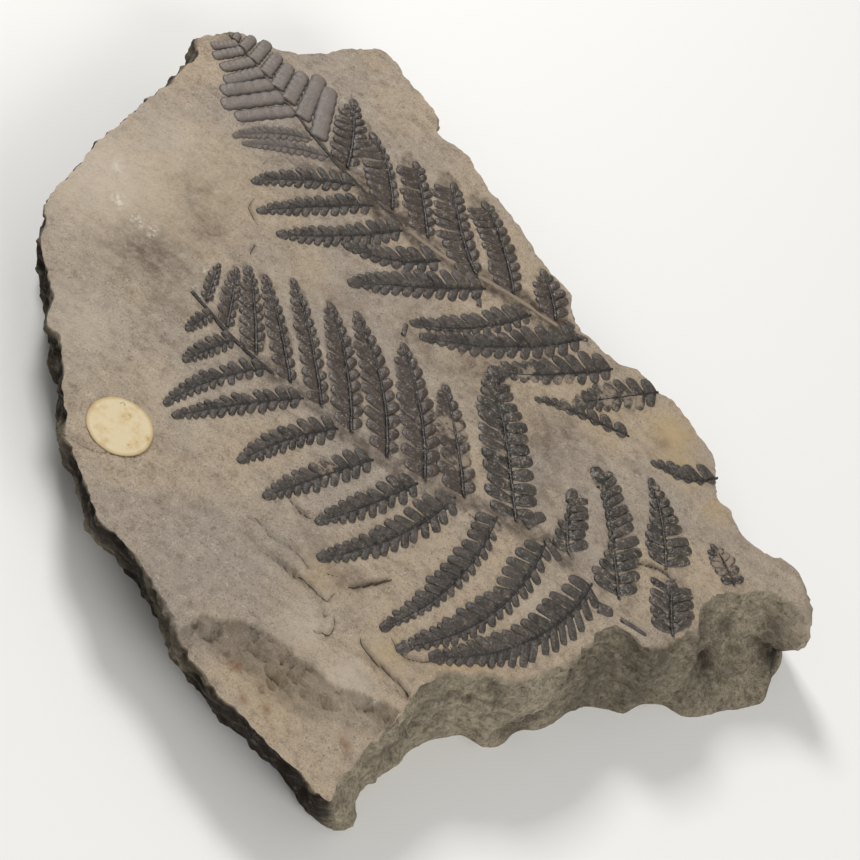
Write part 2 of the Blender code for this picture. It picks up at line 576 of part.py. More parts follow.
# ---------------------------------------------------------------- label and assembly
def build_label(centre, material):
    """A round paper label, glued on near the edge."""
    mesh = bpy.data.meshes.new("paper_label")
    work = bmesh.new()
    bmesh.ops.create_cone(work, cap_ends=True, segments=LABEL_SIDES,
                          radius1=LABEL_DIAMETER / 2000, radius2=LABEL_DIAMETER / 2000,
                          depth=LABEL_THICKNESS / 1000)
    height = (SLAB_THICKNESS + LAYER_GAP + LABEL_THICKNESS / 2) / 1000
    place = (np.array(LABEL_CENTRE) - centre) / 1000
    bmesh.ops.translate(work, verts=work.verts, vec=(*place, height))
    work.to_mesh(mesh)
    work.free()
    mesh.shade_smooth()
    mesh.set_sharp_from_angle(angle=math.radians(40))
    return add_object("paper_label", mesh, material)


def blade_track(root, tip, width):
    """An entire leaflet as a thing to stay clear of: points along it, and its half width."""
    return np.linspace(root, tip, 12), width / 2


def build():
    clear_scene()
    centre = drawing_centre()
    materials = {name: make_material(name) for name in MATERIALS}
    film = materials["carbon_film"]
    build_slab(centre, materials["siltstone"])
    build_label(centre, materials["paper"])
    build_rachis("upper_frond_rachis", UPPER_RACHIS, centre, film)
    build_rachis("middle_frond_rachis", MIDDLE_RACHIS, centre, film)
    build_frond_tip(centre, film)
    for name, root, tip, width in LOOSE_LOBES:
        build_loose_lobe(name, root, tip, width, centre, film)

    stems = [(smooth_path(path, STEM_TRACK_STEPS), rachis_widths(STEM_TRACK_STEPS))
             for path in (UPPER_RACHIS, MIDDLE_RACHIS)]
    stems += [blade_track(root, tip, width) for root, tip, width in TIP_BLADES]
    stems += [blade_track(root, tip, width) for _, root, tip, width in LOOSE_LOBES]
    pinnae = [Pinna(*row) for row in LOBED_PINNAE]
    ground = Ground(pinnae, stems, slab_rings()[0][:, :2])
    for pinna in pinnae:
        pinna.start_clear_of_stems(ground)
    for pinna in pinnae:
        build_pinna(pinna, ground, centre, film)


build()
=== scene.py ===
# %% [markdown]
# # A fossil fern plate
#
# The real thing is a slab of siltstone that split along a bedding plane and bared two fern
# fronds, each leaflet now a thin film of coal.  The plate lies on its back, fern side up.
# The frame gives the outer size and the place of every stem and leaflet.  This script dresses
# it: one rock with ledges and broken walls, and on it some nine hundred small lobes, each a
# domed tongue with its own vein.

import itertools
import math

import bpy
import numpy as np
from mathutils import Matrix, Vector


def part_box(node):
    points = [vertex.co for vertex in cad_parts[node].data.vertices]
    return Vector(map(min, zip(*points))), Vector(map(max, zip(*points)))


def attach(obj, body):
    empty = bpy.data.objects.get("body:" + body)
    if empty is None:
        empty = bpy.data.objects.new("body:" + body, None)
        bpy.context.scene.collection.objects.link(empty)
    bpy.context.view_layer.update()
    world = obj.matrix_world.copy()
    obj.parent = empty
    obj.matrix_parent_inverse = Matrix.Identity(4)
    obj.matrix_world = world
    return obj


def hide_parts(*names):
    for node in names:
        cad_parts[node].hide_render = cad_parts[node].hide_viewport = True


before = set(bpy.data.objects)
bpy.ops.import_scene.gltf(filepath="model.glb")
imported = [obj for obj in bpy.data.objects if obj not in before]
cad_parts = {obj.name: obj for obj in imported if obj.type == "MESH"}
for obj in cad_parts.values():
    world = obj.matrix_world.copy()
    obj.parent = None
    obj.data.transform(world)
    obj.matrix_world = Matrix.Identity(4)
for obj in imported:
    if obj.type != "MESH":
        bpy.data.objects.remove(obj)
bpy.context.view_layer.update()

# %% [markdown]
# ## One drawing, in millimetres
#
# Stone and leaves are easier to lay out in millimetres on the plane of the fern face: +X runs
# from the tips of the fronds to their bases and +Y across them.  The frame has its origin in
# the middle of the slab, so the two differ by one shift.  The round label appears in both, and
# gives the shift without a number being copied.

# %% Drawing units
MM = 0.001
LABEL_AT = np.array((-70.2, -71.9))
LABEL_RADIUS = 10.0
_, slab_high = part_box("rock_slab")
label_low, label_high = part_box("paper_label")
TOP = slab_high.z / MM
CENTRE = LABEL_AT - np.array((label_low + label_high)[:2]) / 2 / MM
print("fern face at", round(TOP, 2), "mm; drawing shifted by", CENTRE.round(2))


def to_world(points):
    """Drawing points in mm as metres in the frame: shift x and y, then scale."""
    points = np.array(points, float)
    points[..., :2] -= CENTRE
    return points * MM


# %% [markdown]
# ## The camera
#
# A thin plate is best looked at from well above.  The camera stands 46 degrees up, is rolled so
# that the fronds run down to the right, and has a long lens, which keeps the slab's far and near
# edges in natural proportion.

# %% Camera
CAMERA_HEIGHT_ANGLE = math.radians(46)
CAMERA_ROLL = math.radians(37.5)
CAMERA_DISTANCE = 0.6992
CAMERA_LENS_MM = 96.3

camera = bpy.data.objects.new("camera", bpy.data.cameras.new("camera"))
bpy.context.scene.collection.objects.link(camera)
bpy.context.scene.camera = camera
camera.data.sensor_width = 36.0
camera.data.lens = CAMERA_LENS_MM
camera.data.clip_start = 0.01
aim = Vector(to_world((0.0, 0.0, TOP)))
back = Vector((0.0, -math.cos(CAMERA_HEIGHT_ANGLE), math.sin(CAMERA_HEIGHT_ANGLE)))
level_right = Vector((1.0, 0.0, 0.0))
level_up = back.cross(level_right)
right = level_right * math.cos(CAMERA_ROLL) + level_up * math.sin(CAMERA_ROLL)
axes = Matrix((right, back.cross(right), back)).transposed().to_4x4()
camera.matrix_world = Matrix.Translation(aim + back * CAMERA_DISTANCE) @ axes
print("camera at", [round(c, 3) for c in camera.location])

# %% [markdown]
# ## Noise that stone is made of
#
# Broken rock is rough at every scale.  Value noise gives one scale: random numbers sit on the
# corners of a lattice, and a point takes a smooth blend of the eight around it.  Adding finer
# and weaker copies gives a fractal.  The random numbers come from mixing the bits of the
# lattice coordinates, so they need no table and are the same on every run.

# %% Noise helpers
def hashed(corner, seed):
    """Whole lattice coordinates to numbers from -1 to 1, by multiplying and mixing bits."""
    mask = np.uint64(0xFFFFFFFF)
    c = corner.astype(np.int64).astype(np.uint64)
    h = (c[..., 0] * np.uint64(73856093)) ^ (c[..., 1] * np.uint64(19349663))
    h = (h ^ (c[..., 2] * np.uint64(83492791)) ^ np.uint64(seed * 2654435761)) & mask
    h = ((h ^ (h >> np.uint64(15))) * np.uint64(2246822519)) & mask
    h = ((h ^ (h >> np.uint64(13))) * np.uint64(3266489917)) & mask
    return (h ^ (h >> np.uint64(16))).astype(float) / 2147483647.5 - 1.0


def noise(points, cell, seed):
    """Value noise: lattice numbers blended by the smooth weights 3t^2 - 2t^3 on each axis."""
    scaled = np.asarray(points, float) / cell
    base = np.floor(scaled)
    t = scaled - base
    t = t * t * (3 - 2 * t)
    total = np.zeros(scaled.shape[:-1])
    for corner in itertools.product((0, 1), repeat=3):
        weight = np.prod(np.where(np.array(corner) == 1, t, 1 - t), axis=-1)
        total += weight * hashed(base + corner, seed)
    return total


def fractal(points, cell, octaves, seed, gain=0.5):
    """Octaves of noise, each on half the cell and gain times as strong as the one before."""
    total = 0.0
    for octave in range(octaves):
        finer = np.asarray(cell) / 2 ** octave
        total = total + gain ** octave * noise(points, finer, seed + octave)
    return total


def ridged(points, cell, octaves, seed):
    """Fractal of folded noise, 1 - 3|n|: sharp crests between rounded hollows."""
    total = 0.0
    for octave in range(octaves):
        folded = 1 - 3 * np.abs(noise(points, np.asarray(cell) / 2 ** octave, seed + octave))
        total = total + 0.5 ** octave * folded
    return total


def flat(points):
    """Plan points with a zero height, so that the same noise serves the plane."""
    points = np.asarray(points, float)
    return np.concatenate([points[..., :2], np.zeros(points.shape[:-1] + (1,))], axis=-1)


def smoothstep(low, high, value):
    """0 below low, 1 above high, and 3t^2 - 2t^3 between."""
    t = np.clip((value - low) / (high - low), 0, 1)
    return t * t * (3 - 2 * t)


def path_distance(points, path):
    """Distance of each plan point to a chain of straight pieces, and the share along it."""
    points = np.asarray(points, float)[..., :2]
    path = np.asarray(path, float)
    lengths = np.linalg.norm(np.diff(path, axis=0), axis=1)
    run = np.concatenate([[0], np.cumsum(lengths)]) / lengths.sum()
    best = np.full(points.shape[:-1], 1e9)
    share = np.zeros(points.shape[:-1])
    for i, (a, b) in enumerate(zip(path[:-1], path[1:])):
        t = np.clip(((points - a) @ (b - a)) / ((b - a) @ (b - a)), 0, 1)
        gap = np.linalg.norm(points - a - t[..., None] * (b - a), axis=-1)
        nearer = gap < best
        best = np.where(nearer, gap, best)
        share = np.where(nearer, run[i] + t * (run[i + 1] - run[i]), share)
    return best, share


def inside(points, outline):
    """True inside a closed outline: a ray to the right crosses it an odd number of times."""
    points = np.asarray(points, float)[..., :2]
    outline = np.asarray(outline, float)
    odd = np.zeros(points.shape[:-1], bool)
    for a, b in zip(outline, np.roll(outline, -1, axis=0)):
        if a[1] == b[1]:
            continue
        crosses = (a[1] > points[..., 1]) != (b[1] > points[..., 1])
        at_x = a[0] + (points[..., 1] - a[1]) / (b[1] - a[1]) * (b[0] - a[0])
        odd ^= crosses & (points[..., 0] < at_x)
    return odd


def depth_inside(points, outline):
    """Signed distance to a closed outline, positive inside."""
    closed = np.vstack([outline, outline[:1]])
    gap = path_distance(points, closed)[0]
    return np.where(inside(points, outline), gap, -gap)


# %% [markdown]
# ## The outline of the plate
#
# Each station of the edge has an upper point, on the fern face, and a foot, where the wall
# meets the shelf.  The power tells how the wall runs between them: under 1 it bulges, over 1 it
# is hollow like the inside of a shell.  Along the left the wall bends in under the plate, so
# its foot lies inside its upper edge.

# %% Stations of the edge
# x, y of the upper edge; x, y of the foot; power of the profile
NEAR_WALL = np.array((
    (39.6, -127.0, 47.7, -115.6, 0.9), (38.2, -122.5, 49.6, -110.8, 0.9),
    (38.3, -117.0, 47.2, -104.6, 0.8), (38.7, -110.5, 46.6, -98.6, 0.8),
    (39.9, -101.0, 49.5, -91.6, 0.8), (41.2, -93.0, 51.2, -85.0, 0.8),
    (41.9, -85.5, 52.0, -78.0, 0.8), (42.4, -78.0, 55.5, -70.5, 0.7),
    (44.2, -71.0, 61.0, -62.5, 0.7), (50.5, -65.5, 66.0, -61.2, 0.6),
    (58.8, -59.8, 70.0, -60.3, 0.5), (63.8, -54.8, 75.5, -54.0, 0.55),
    (68.7, -48.0, 79.8, -46.0, 0.6), (71.8, -40.5, 83.6, -37.8, 0.7),
    (74.8, -31.0, 87.2, -28.3, 0.9), (77.5, -21.5, 90.3, -24.0, 1.3),
    (81.0, -16.2, 95.5, -20.6, 1.6), (89.6, -14.6, 100.8, -16.6, 0.9),
    (94.6, -10.5, 104.0, -9.8, 0.8), (97.2, -5.0, 110.0, -4.9, 0.9),
    (101.0, 3.6, 117.3, -3.0, 1.1), (100.0, 10.5, 123.2, 2.5, 1.5),
    (101.5, 18.8, 127.5, 9.5, 1.9), (107.2, 27.5, 132.0, 14.8, 2.3),
    (113.0, 32.6, 135.6, 19.2, 2.5), (119.2, 35.9, 138.0, 22.8, 2.2),
    (123.4, 38.0, 138.6, 27.4, 1.0), (124.8, 39.2, 138.8, 32.0, 0.42),
    (125.8, 41.2, 138.0, 38.0, 0.36), (125.6, 44.0, 134.8, 44.6, 0.45),
))
# x, y of the upper edge; how far the foot stands out beyond it
OTHER_WALLS = np.array((
    (122.3, 49.4, 3.5), (115.3, 50.8, 4.0), (111.1, 48.3, 4.5), (105.6, 47.9, 4.5),
    (99.2, 48.8, 4.5), (95.5, 50.9, 4.0), (92.4, 54.2, 3.5), (88.0, 55.1, 4.0),
    (85.3, 56.9, 4.5), (82.4, 64.6, 3.5), (77.6, 70.2, 4.0), (70.1, 74.2, 4.0),
    (64.1, 77.4, 4.0), (57.9, 80.1, 3.5), (50.7, 78.9, 4.0), (42.7, 79.9, 3.5),
    (34.0, 77.5, 4.5), (24.4, 77.8, 4.5), (16.0, 79.8, 4.5), (12.5, 84.8, 4.0),
    (9.4, 89.4, 3.5), (3.1, 92.2, 3.5), (-6.2, 94.8, 4.0), (-13.9, 99.9, 3.5),
    (-26.2, 105.0, 4.0), (-34.9, 107.8, 4.0), (-46.8, 115.8, 3.0), (-58.0, 114.5, 4.0),
    (-62.6, 121.2, 3.0), (-68.4, 123.9, 3.0), (-77.5, 127.3, 2.5), (-86.1, 130.9, 2.0),
    (-92.7, 131.8, 1.5), (-97.5, 127.5, 1.5), (-101.5, 122.3, 1.5), (-103.6, 115.7, 1.0),
    (-108.4, 107.9, 1.0), (-114.5, 101.2, 0.0), (-119.4, 97.8, -1.0), (-121.6, 98.7, -2.0),
    (-124.8, 94.6, -2.0), (-128.8, 94.4, -2.5), (-132.5, 91.0, -3.0), (-135.6, 85.3, -3.0),
    (-138.3, 81.0, -3.0), (-138.8, 76.8, -2.5), (-135.1, 71.5, -2.0), (-134.0, 62.0, -2.0),
    (-133.4, 54.9, -2.0), (-135.1, 41.0, -2.5), (-135.0, 27.0, -2.5), (-135.4, 13.8, -3.0),
    (-134.7, 0.8, -4.0), (-134.2, -8.0, -5.5), (-133.2, -15.0, -7.5), (-131.4, -22.5, -10.0),
    (-126.8, -30.5, -12.0), (-121.0, -38.5, -11.0), (-115.5, -43.2, -10.5),
    (-109.4, -49.6, -11.0), (-106.2, -58.8, -14.0), (-100.7, -58.4, -12.0),
    (-96.5, -63.0, -10.5), (-92.6, -69.0, -10.0), (-88.2, -75.5, -10.5),
    (-83.4, -80.6, -12.5), (-80.5, -86.3, -16.5), (-71.9, -91.3, -18.0),
    (-66.3, -95.3, -19.0), (-61.5, -99.8, -17.0), (-54.3, -102.9, -16.5),
    (-48.3, -102.9, -14.5), (-40.8, -104.8, -15.0), (-31.9, -108.2, -14.5),
    (-26.0, -111.5, -14.5), (-19.2, -114.8, -13.0), (-9.0, -118.3, -12.0),
    (-2.1, -121.0, -11.5), (5.2, -122.7, -12.0), (11.1, -123.6, -14.0),
))
# as the near wall: the last stretch before the near corner, where the wall still bends in
CORNER_WALL = np.array((
    (17.5, -124.6, 19.6, -110.0, 0.8), (24.0, -125.3, 25.0, -112.0, 0.8),
    (29.6, -125.8, 31.8, -115.0, 0.8), (35.2, -126.9, 40.0, -117.2, 0.8),
))
UNDERCUT_BELOW = -5.0        # a foot further in than this is reached by bending, in mm
# share of the way from edge to foot, at shares of the thickness, where the wall bends in
UNDERCUT_PROFILE = ((0.0, 0.1, 0.3, 0.55, 0.8, 1.0), (0.0, 0.04, 0.16, 0.42, 0.73, 1.0))
OTHER_POWER = 0.8
STATION_REACH = 4            # neighbours this far off give a station its outward direction
RIM_REACH = 6                # the same for a point of the rim


def edge_normals(points, reach):
    """Outward directions of a closed loop, from the neighbours reach steps ahead and behind."""
    along = np.roll(points, -reach, axis=0) - np.roll(points, reach, axis=0)
    along /= np.linalg.norm(along, axis=1, keepdims=True)
    return np.stack([along[:, 1], -along[:, 0]], axis=1)


edge = np.vstack([NEAR_WALL[:, :2], OTHER_WALLS[:, :2], CORNER_WALL[:, :2]])
out = edge_normals(edge, STATION_REACH)[len(NEAR_WALL):-len(CORNER_WALL)]
foot = np.vstack([NEAR_WALL[:, 2:4], OTHER_WALLS[:, :2] + out * OTHER_WALLS[:, 2:3],
                  CORNER_WALL[:, 2:4]])
power = np.concatenate([NEAR_WALL[:, 4], np.full(len(OTHER_WALLS), OTHER_POWER),
                        CORNER_WALL[:, 4]])
undercut = np.concatenate([np.zeros(len(NEAR_WALL)), OTHER_WALLS[:, 2] < UNDERCUT_BELOW,
                           np.ones(len(CORNER_WALL))])
stations = np.column_stack([edge, foot, power, undercut])
print(len(stations), "stations round the plate")

# %% [markdown]
# ## A square net pulled over the plate
#
# A mesh with a rim of its own is best made as a net of rows and columns.  The rim of a square
# net is laid along the edge of the plate, its four corners at the plate's own corners.  Inside,
# each knot is drawn to a weighted mean of its neighbours until the net is even.  The weights
# are Winslow's: they keep cells from folding over where the edge is hollow.  A coarse net
# settles in moments, and a fine one starts from it.

# %% Rim of the net
CELLS = 236
CORNERS = ((39.6, -127.0), (125.6, 44.0), (-92.7, 131.8), (-134.7, 0.8))
POWER_LIMITS = (0.35, 2.6)
# depth in mm, cell in mm, octaves and seed of the chips along the rim
ROUND_CHIPS = (0.75, 9.0, 4, 11, 0.6)
SHARP_CHIPS = (0.3, 4.0, 2, 15)
CHIPS_INWARD = 0.25          # mm


def spline(values, closed_steps):
    """Closed Catmull-Rom curve through rows of values, at fractional row numbers."""
    count = len(values)
    i = np.floor(closed_steps).astype(int)
    t = (closed_steps - i)[:, None]
    p0, p1, p2, p3 = (values[(i + k) % count] for k in (-1, 0, 1, 2))
    return 0.5 * (2 * p1 + (p2 - p0) * t + (2 * p0 - 5 * p1 + 4 * p2 - p3) * t ** 2
                  + (3 * p1 - p0 - 3 * p2 + p3) * t ** 3)


def even_steps(values, corners, cells):
    """Fractional row numbers that divide each stretch between corners by equal lengths."""
    closed = np.vstack([values[:, :2], values[:1, :2]])
    run = np.concatenate([[0], np.cumsum(np.linalg.norm(np.diff(closed, axis=0), axis=1))])
    rows = [int(np.argmin(np.linalg.norm(values[:, :2] - c, axis=1))) for c in corners]
    steps = []
    for a, b in zip(rows, rows[1:] + [rows[0] + len(values)]):
        end = run[-1] if b == len(values) else run[b]
        lengths = np.linspace(run[a], end, cells, endpoint=False)
        steps.append(np.interp(lengths, run, np.arange(len(run))))
    return np.concatenate(steps)


rim = spline(stations, even_steps(stations, CORNERS, CELLS))
rim[:, 4] = np.clip(rim[:, 4], *POWER_LIMITS)
rim[:, 5] = smoothstep(0.2, 0.8, rim[:, 5])
rim_out = edge_normals(rim[:, :2], RIM_REACH)
chips = (ROUND_CHIPS[0] * fractal(flat(rim[:, :2]), *ROUND_CHIPS[1:]) - CHIPS_INWARD
         + SHARP_CHIPS[0] * ridged(flat(rim[:, :2]), *SHARP_CHIPS[1:]))
rim[:, :2] += rim_out * chips[:, None]
print("rim of", len(rim), "points")


# %% [markdown]
# ### The inside of the net
#
# The plate could be filled with triangles of any size, but relief creases where they change.
# Here a first guess blends the four borders, and rounds of smoothing then even it out: many
# rounds on every fourth knot, where they are cheap, and a few on all of them.

# %% Inside of the net
COARSE_EVERY = 4
COARSE_ROUNDS, FINE_ROUNDS = 1500, 120


def bordered(rim_points, cells):
    """A square net whose border is the rim, and whose inside blends opposite borders."""
    s0, s1, s2, s3 = (rim_points[k * cells:(k + 1) * cells] for k in range(4))
    bottom, right_side = np.vstack([s0, s1[:1]]), np.vstack([s1, s2[:1]])
    top, left_side = np.vstack([s2, s3[:1]])[::-1], np.vstack([s3, s0[:1]])[::-1]
    t = np.linspace(0, 1, cells + 1)
    u, v = t[None, :, None], t[:, None, None]
    net = ((1 - v) * bottom[None] + v * top[None] + (1 - u) * left_side[:, None]
           + u * right_side[:, None])
    return net - ((1 - u) * (1 - v) * bottom[0] + u * (1 - v) * bottom[-1]
                  + (1 - u) * v * top[0] + u * v * top[-1])


def settled(net, rounds):
    """Winslow smoothing: knots move to the mean of their neighbours, weighted by g22 and g11."""
    net = net.copy()
    for _ in range(rounds):
        across = (net[1:-1, 2:] - net[1:-1, :-2]) / 2
        along = (net[2:, 1:-1] - net[:-2, 1:-1]) / 2
        g11 = (across ** 2).sum(-1, keepdims=True)
        g22 = (along ** 2).sum(-1, keepdims=True)
        g12 = (across * along).sum(-1, keepdims=True)
        twist = net[2:, 2:] - net[2:, :-2] - net[:-2, 2:] + net[:-2, :-2]
        net[1:-1, 1:-1] = ((g22 * (net[1:-1, 2:] + net[1:-1, :-2])
                            + g11 * (net[2:, 1:-1] + net[:-2, 1:-1]) - g12 / 2 * twist)
                           / (2 * (g11 + g22)))
    return net


def refined(net, rim_points, cells):
    """The net sampled on a finer square, with the finer rim as its border."""
    old = np.linspace(0, 1, len(net))
    new = np.linspace(0, 1, cells + 1)
    wide = np.stack([[np.interp(new, old, row[:, k]) for row in net] for k in (0, 1)], axis=-1)
    fine = np.stack([[np.interp(new, old, wide[:, j, k]) for j in range(cells + 1)]
                     for k in (0, 1)], axis=-1).transpose(1, 0, 2)
    border = bordered(rim_points, cells)
    fine[[0, -1]] = border[[0, -1]]
    fine[:, [0, -1]] = border[:, [0, -1]]
    return fine


coarse = settled(bordered(rim[::COARSE_EVERY, :2], CELLS // COARSE_EVERY), COARSE_ROUNDS)
net = settled(refined(coarse, rim[:, :2], CELLS), FINE_ROUNDS)
cell_across = net[:-1, 1:] - net[:-1, :-1]
cell_along = net[1:, :-1] - net[:-1, :-1]
areas = cell_across[..., 0] * cell_along[..., 1] - cell_across[..., 1] * cell_along[..., 0]
print("net", net.shape, "folded cells:", int((areas < 0).sum()),
      "mean cell", round(areas.mean(), 2))


# %% [markdown]
# ## Relief of the fern face
#
# The face is nearly flat, but the eye reads a lot from what little there is.  Towards the near
# corner the split jumped down to a lower layer, over a rough slope.  Another thin layer ends in
# a low ledge.  Furrows, a dent by the label and fractal roughness are added.  Everything is one
# function of x and y, so that leaves and label can be laid on the same ground.

# %% Ledges, slopes and furrows
SLOPE_TOP = ((-24, -116), (-20.3, -112.5), (-18.4, -106.3), (-14.8, -102.8), (-9.1, -98.2),
             (-0.9, -96.8), (7, -97.4), (14.3, -96.4), (22.6, -97.2), (28.2, -94.5),
             (33, -92.6), (40, -89.5), (50, -88))
SLOPE_FOOT = ((-20, -119), (-14.4, -115.8), (-6.9, -113.7), (-1.1, -113.2), (6.7, -116.4),
              (10.7, -115.8), (18.6, -111.6), (29.7, -106.8), (37.6, -104.8), (50, -100))
LOWER_CORNER = ((60, -110), (60, -150), (-20, -150))
SLOPE_DROP = 2.8
# height in mm, cell in mm, octaves, seed and gain of each layer of the face's roughness
FACE_ROUGHNESS = ((0.5, 62.0, 2, 21, 0.5), (0.24, 17.0, 2, 31, 0.5), (0.17, 4.6, 3, 41, 0.55))
SLOPE_ROUGHNESS = 1.1        # mm
SLOPE_STRETCH = (0.7, 1.6, 1.0)
STREAK_HEIGHT = 0.16
STREAK_STRETCH = (0.35, 1.0, 1.0)        # hackle streaks run along the fronds
LAYER_WOBBLE = (7.0, 0.9, 51)            # cell, amount and seed, for the borders of the layers
SLOPE_STEEPNESS = 0.6        # under 1 the slope is steepest at its top
LEDGE = ((-28, -72), (-24, -74.3), (-19, -75), (-8, -74), (0, -76.3), (4, -77.5), (6.6, -77),
         (7, -79.6), (10, -80.4), (11.4, -86.5), (20, -85), (27, -83.4), (36, -85.4), (46, -86))
LEDGE_REST = ((60, -90), (60, -150), (-34, -150), (-34, -78))
LEDGE_DROP = 1.4
# path, depth and width of each furrow, and half width of the dark cord of painted shadow in its
# bottom
FURROWS = (
    (((-14.8, -75.1), (-10.8, -74.7), (-6.8, -74.9), (-1, -75.6), (2.5, -76.2), (6.5, -76.4)),
     0.5, 0.7, 0.2),
    (((6.5, -76.4), (6.7, -72.5)), 0.3, 0.6, 0.1),
    (((17.6, -55.4), (16.7, -56.7), (13.8, -60.5), (11.1, -64.6), (9.1, -67.9)), 0.9, 0.9, 0.42),
    (((4.3, -67.1), (1.7, -68.8)), 0.3, 0.6, 0.14),
    (((8.2, -86.3), (12.2, -85.4), (12, -81.4), (10.4, -79.3)), 0.35, 0.6, 0.12),
    (((20.1, -79.7), (22.9, -81.4), (26.4, -82.5), (29.5, -83.1), (34.2, -83.8), (38, -84.5),
      (41.1, -85.5)), 0.7, 0.8, 0.3),
    (((26.9, -72.3), (30.6, -75), (34.2, -75.1), (38.1, -73.2), (41.5, -69)), 0.5, 0.8, 0.16),
    (((75.2, 10.2), (79, 12), (82, 13.4), (88.6, 14.2)), 0.8, 0.7, 0.3),
    (((-20.5, -54.8), (-16, -55.6), (-11.5, -55.6)), 0.6, 0.7, 0.26),
    (((-88.4, 35), (-87.6, 31), (-85, 28.4), (-82, 26.4)), 0.4, 0.6, 0.12),
    (((-94.2, 50), (-93.6, 55.4)), 0.3, 0.6, 0.1),
    (((-24.2, -68.4), (-17, -69.6), (-9, -68.8), (-3, -71.4)), 0.3, 0.8, 0.08),
    (((-61, -76.6), (-70, -84.2), (-80, -86.6)), 0.2, 0.8, 0.07),
    (((-76.4, 14.2), (-78.2, 18.6)), 0.4, 0.6, 0.16),
    (((24.4, -16.6), (28, -17.4), (31.4, -20.6)), 0.4, 0.6, 0.14),
)
FURROW_GAIN = 1.5            # furrows are cut this much deeper, since the net blunts them
FURROW_WOBBLE = (3.0, 0.35, 71)          # cell, amount and seed
# centre, radius and depth of each dent (a negative depth is a bump)
DENTS = (
    ((-57.2, -71.6), 2.2, 0.9), ((-137, 77), 5.0, -0.6), ((-118, -2), 2.0, 0.5),
    ((-108.5, -4), 2.4, 0.4), ((44, 60), 16, 1.1), ((60, -40), 14, -0.7), ((-45, -90), 26, 0.9),
    ((66, 66), 7, 0.8), ((12, 30), 14, 0.5), ((78, 46), 9, -0.6), ((110, 40), 8, -0.5),
    ((-110, 60), 22, 0.8), ((-20, 82), 12, -0.5), ((32, 36.5), 4.5, 0.7), ((92, -6), 5, 0.6),
)


def wavy(points, cell, amount, seed):
    """Plan points pushed about by two smooth noises, so that drawn lines lose their rulers."""
    shift = np.stack([fractal(flat(points), cell, 3, seed),
                      fractal(flat(points), cell, 3, seed + 9)], axis=-1)
    return np.asarray(points, float)[..., :2] + amount * shift


def slope_share(points):
    """0 on the upper layer, 1 on the lower: on the slope, distance to its top over both."""
    below_top = inside(points, SLOPE_TOP + LOWER_CORNER)
    below_foot = inside(points, SLOPE_FOOT + LOWER_CORNER)
    to_top, to_foot = (path_distance(points, path)[0] for path in (SLOPE_TOP, SLOPE_FOOT))
    share = (to_top / (to_top + to_foot + 1e-6)) ** SLOPE_STEEPNESS
    return np.where(below_foot, 1.0, np.where(below_top, share, 0.0))


def relief(points):
    """Height over the fern face in mm: waves, roughness, the slope, the ledge, cuts and dents."""
    plan = flat(points)
    height = sum(layer[0] * fractal(plan, *layer[1:]) for layer in FACE_ROUGHNESS)
    bent = wavy(plan, *LAYER_WOBBLE)
    share = slope_share(bent)
    on_slope = 4 * share * (1 - share)
    height -= SLOPE_DROP * share
    height += SLOPE_ROUGHNESS * on_slope * ridged(plan * SLOPE_STRETCH, 4.6, 3, 61)
    height += STREAK_HEIGHT * fractal(plan * STREAK_STRETCH, 2.6, 3, 46)
    ledge_depth = depth_inside(bent, LEDGE + LEDGE_REST)
    fading = smoothstep(-34, -12, plan[..., 0])
    height -= LEDGE_DROP * fading * smoothstep(-0.5, 0.6, ledge_depth)
    wobble = wavy(plan, *FURROW_WOBBLE)
    for path, depth, width, _ in FURROWS:
        gap, along = path_distance(wobble, path)
        pointed = np.sqrt(4 * along * (1 - along))
        height -= FURROW_GAIN * depth * np.exp(-(gap / width) ** 2) * pointed
    for centre, radius, depth in DENTS:
        gap = np.linalg.norm(plan[..., :2] - centre, axis=-1)
        height -= depth * np.exp(-(gap / radius) ** 2)
    return height


FACE_BELOW_TOP = 1.05        # mean fern face under the top of the frame's slab, mm


def ground(points):
    """Height of the fern face above the underside, in mm."""
    return TOP - FACE_BELOW_TOP + relief(points)


top_plan = net.reshape(-1, 2)
top_height = ground(top_plan)
print("fern face from", round(top_height.min(), 2), "to", round(top_height.max(), 2), "mm")

# %% [markdown]
# ## Walls and underside
#
# From the rim the wall goes down in rows.  Each row lies a share of the way from edge to foot,
# given by the station's own power, and is then pushed in and out along the outward direction:
# by coarse noise for the hackles of a break, and by noise squashed in height for the edges of
# the thin beds.  A few bites are hollowed out of the near side.

# %% Walls
WALL_ROWS = 24
ROW_CROWDING = 1.35          # over 1 brings rows closer together under the rim
# height in mm, cell in mm, octaves and seed of the lumps, of the sharp crests between them and
# of the edges of the thin beds
WALL_LUMPS = (1.2, (16.0, 16.0, 12.0), 3, 81)
WALL_CRESTS = (1.0, (8.0, 8.0, 5.0), 3, 84)
WALL_BEDS = ((0.5, (26.0, 26.0, 2.1), 86), (0.35, (14.0, 14.0, 1.3), 87))
# place, radius and depth of bites out of the wall (a negative depth is a rib)
BITES = (
    ((84, -34, 17), 11, 3.2), ((92, -21, 16), 5, 1.2), ((96, -13.5, 14), 4, -1.8),
    ((76, -50, 3), 6, 3.5), ((118, 12, 12), 12, 1.0), ((113, -2, 4), 6, 2.2),
    ((131, 16, 8), 5, 2.4),
    ((136, 33, 8), 6.5, 6.5), ((141, 30, 1), 6, 2.5), ((139, 35, 18), 6, -2.5),
    ((126, 20, 14), 3, 1.6),
    ((46, -88, 8), 7, 2.4), ((60, -62, 6), 7, -1.0), ((-103, -58, 20), 7, 2.0),
    ((-128, -24, 18), 8, 1.5), ((-60, -96, 14), 8, -2.0), ((-84, -80, 14), 6, 1.6),
    ((-136, 40, 16), 10, 1.2), ((-20, -108, 14), 8, -1.5),
)

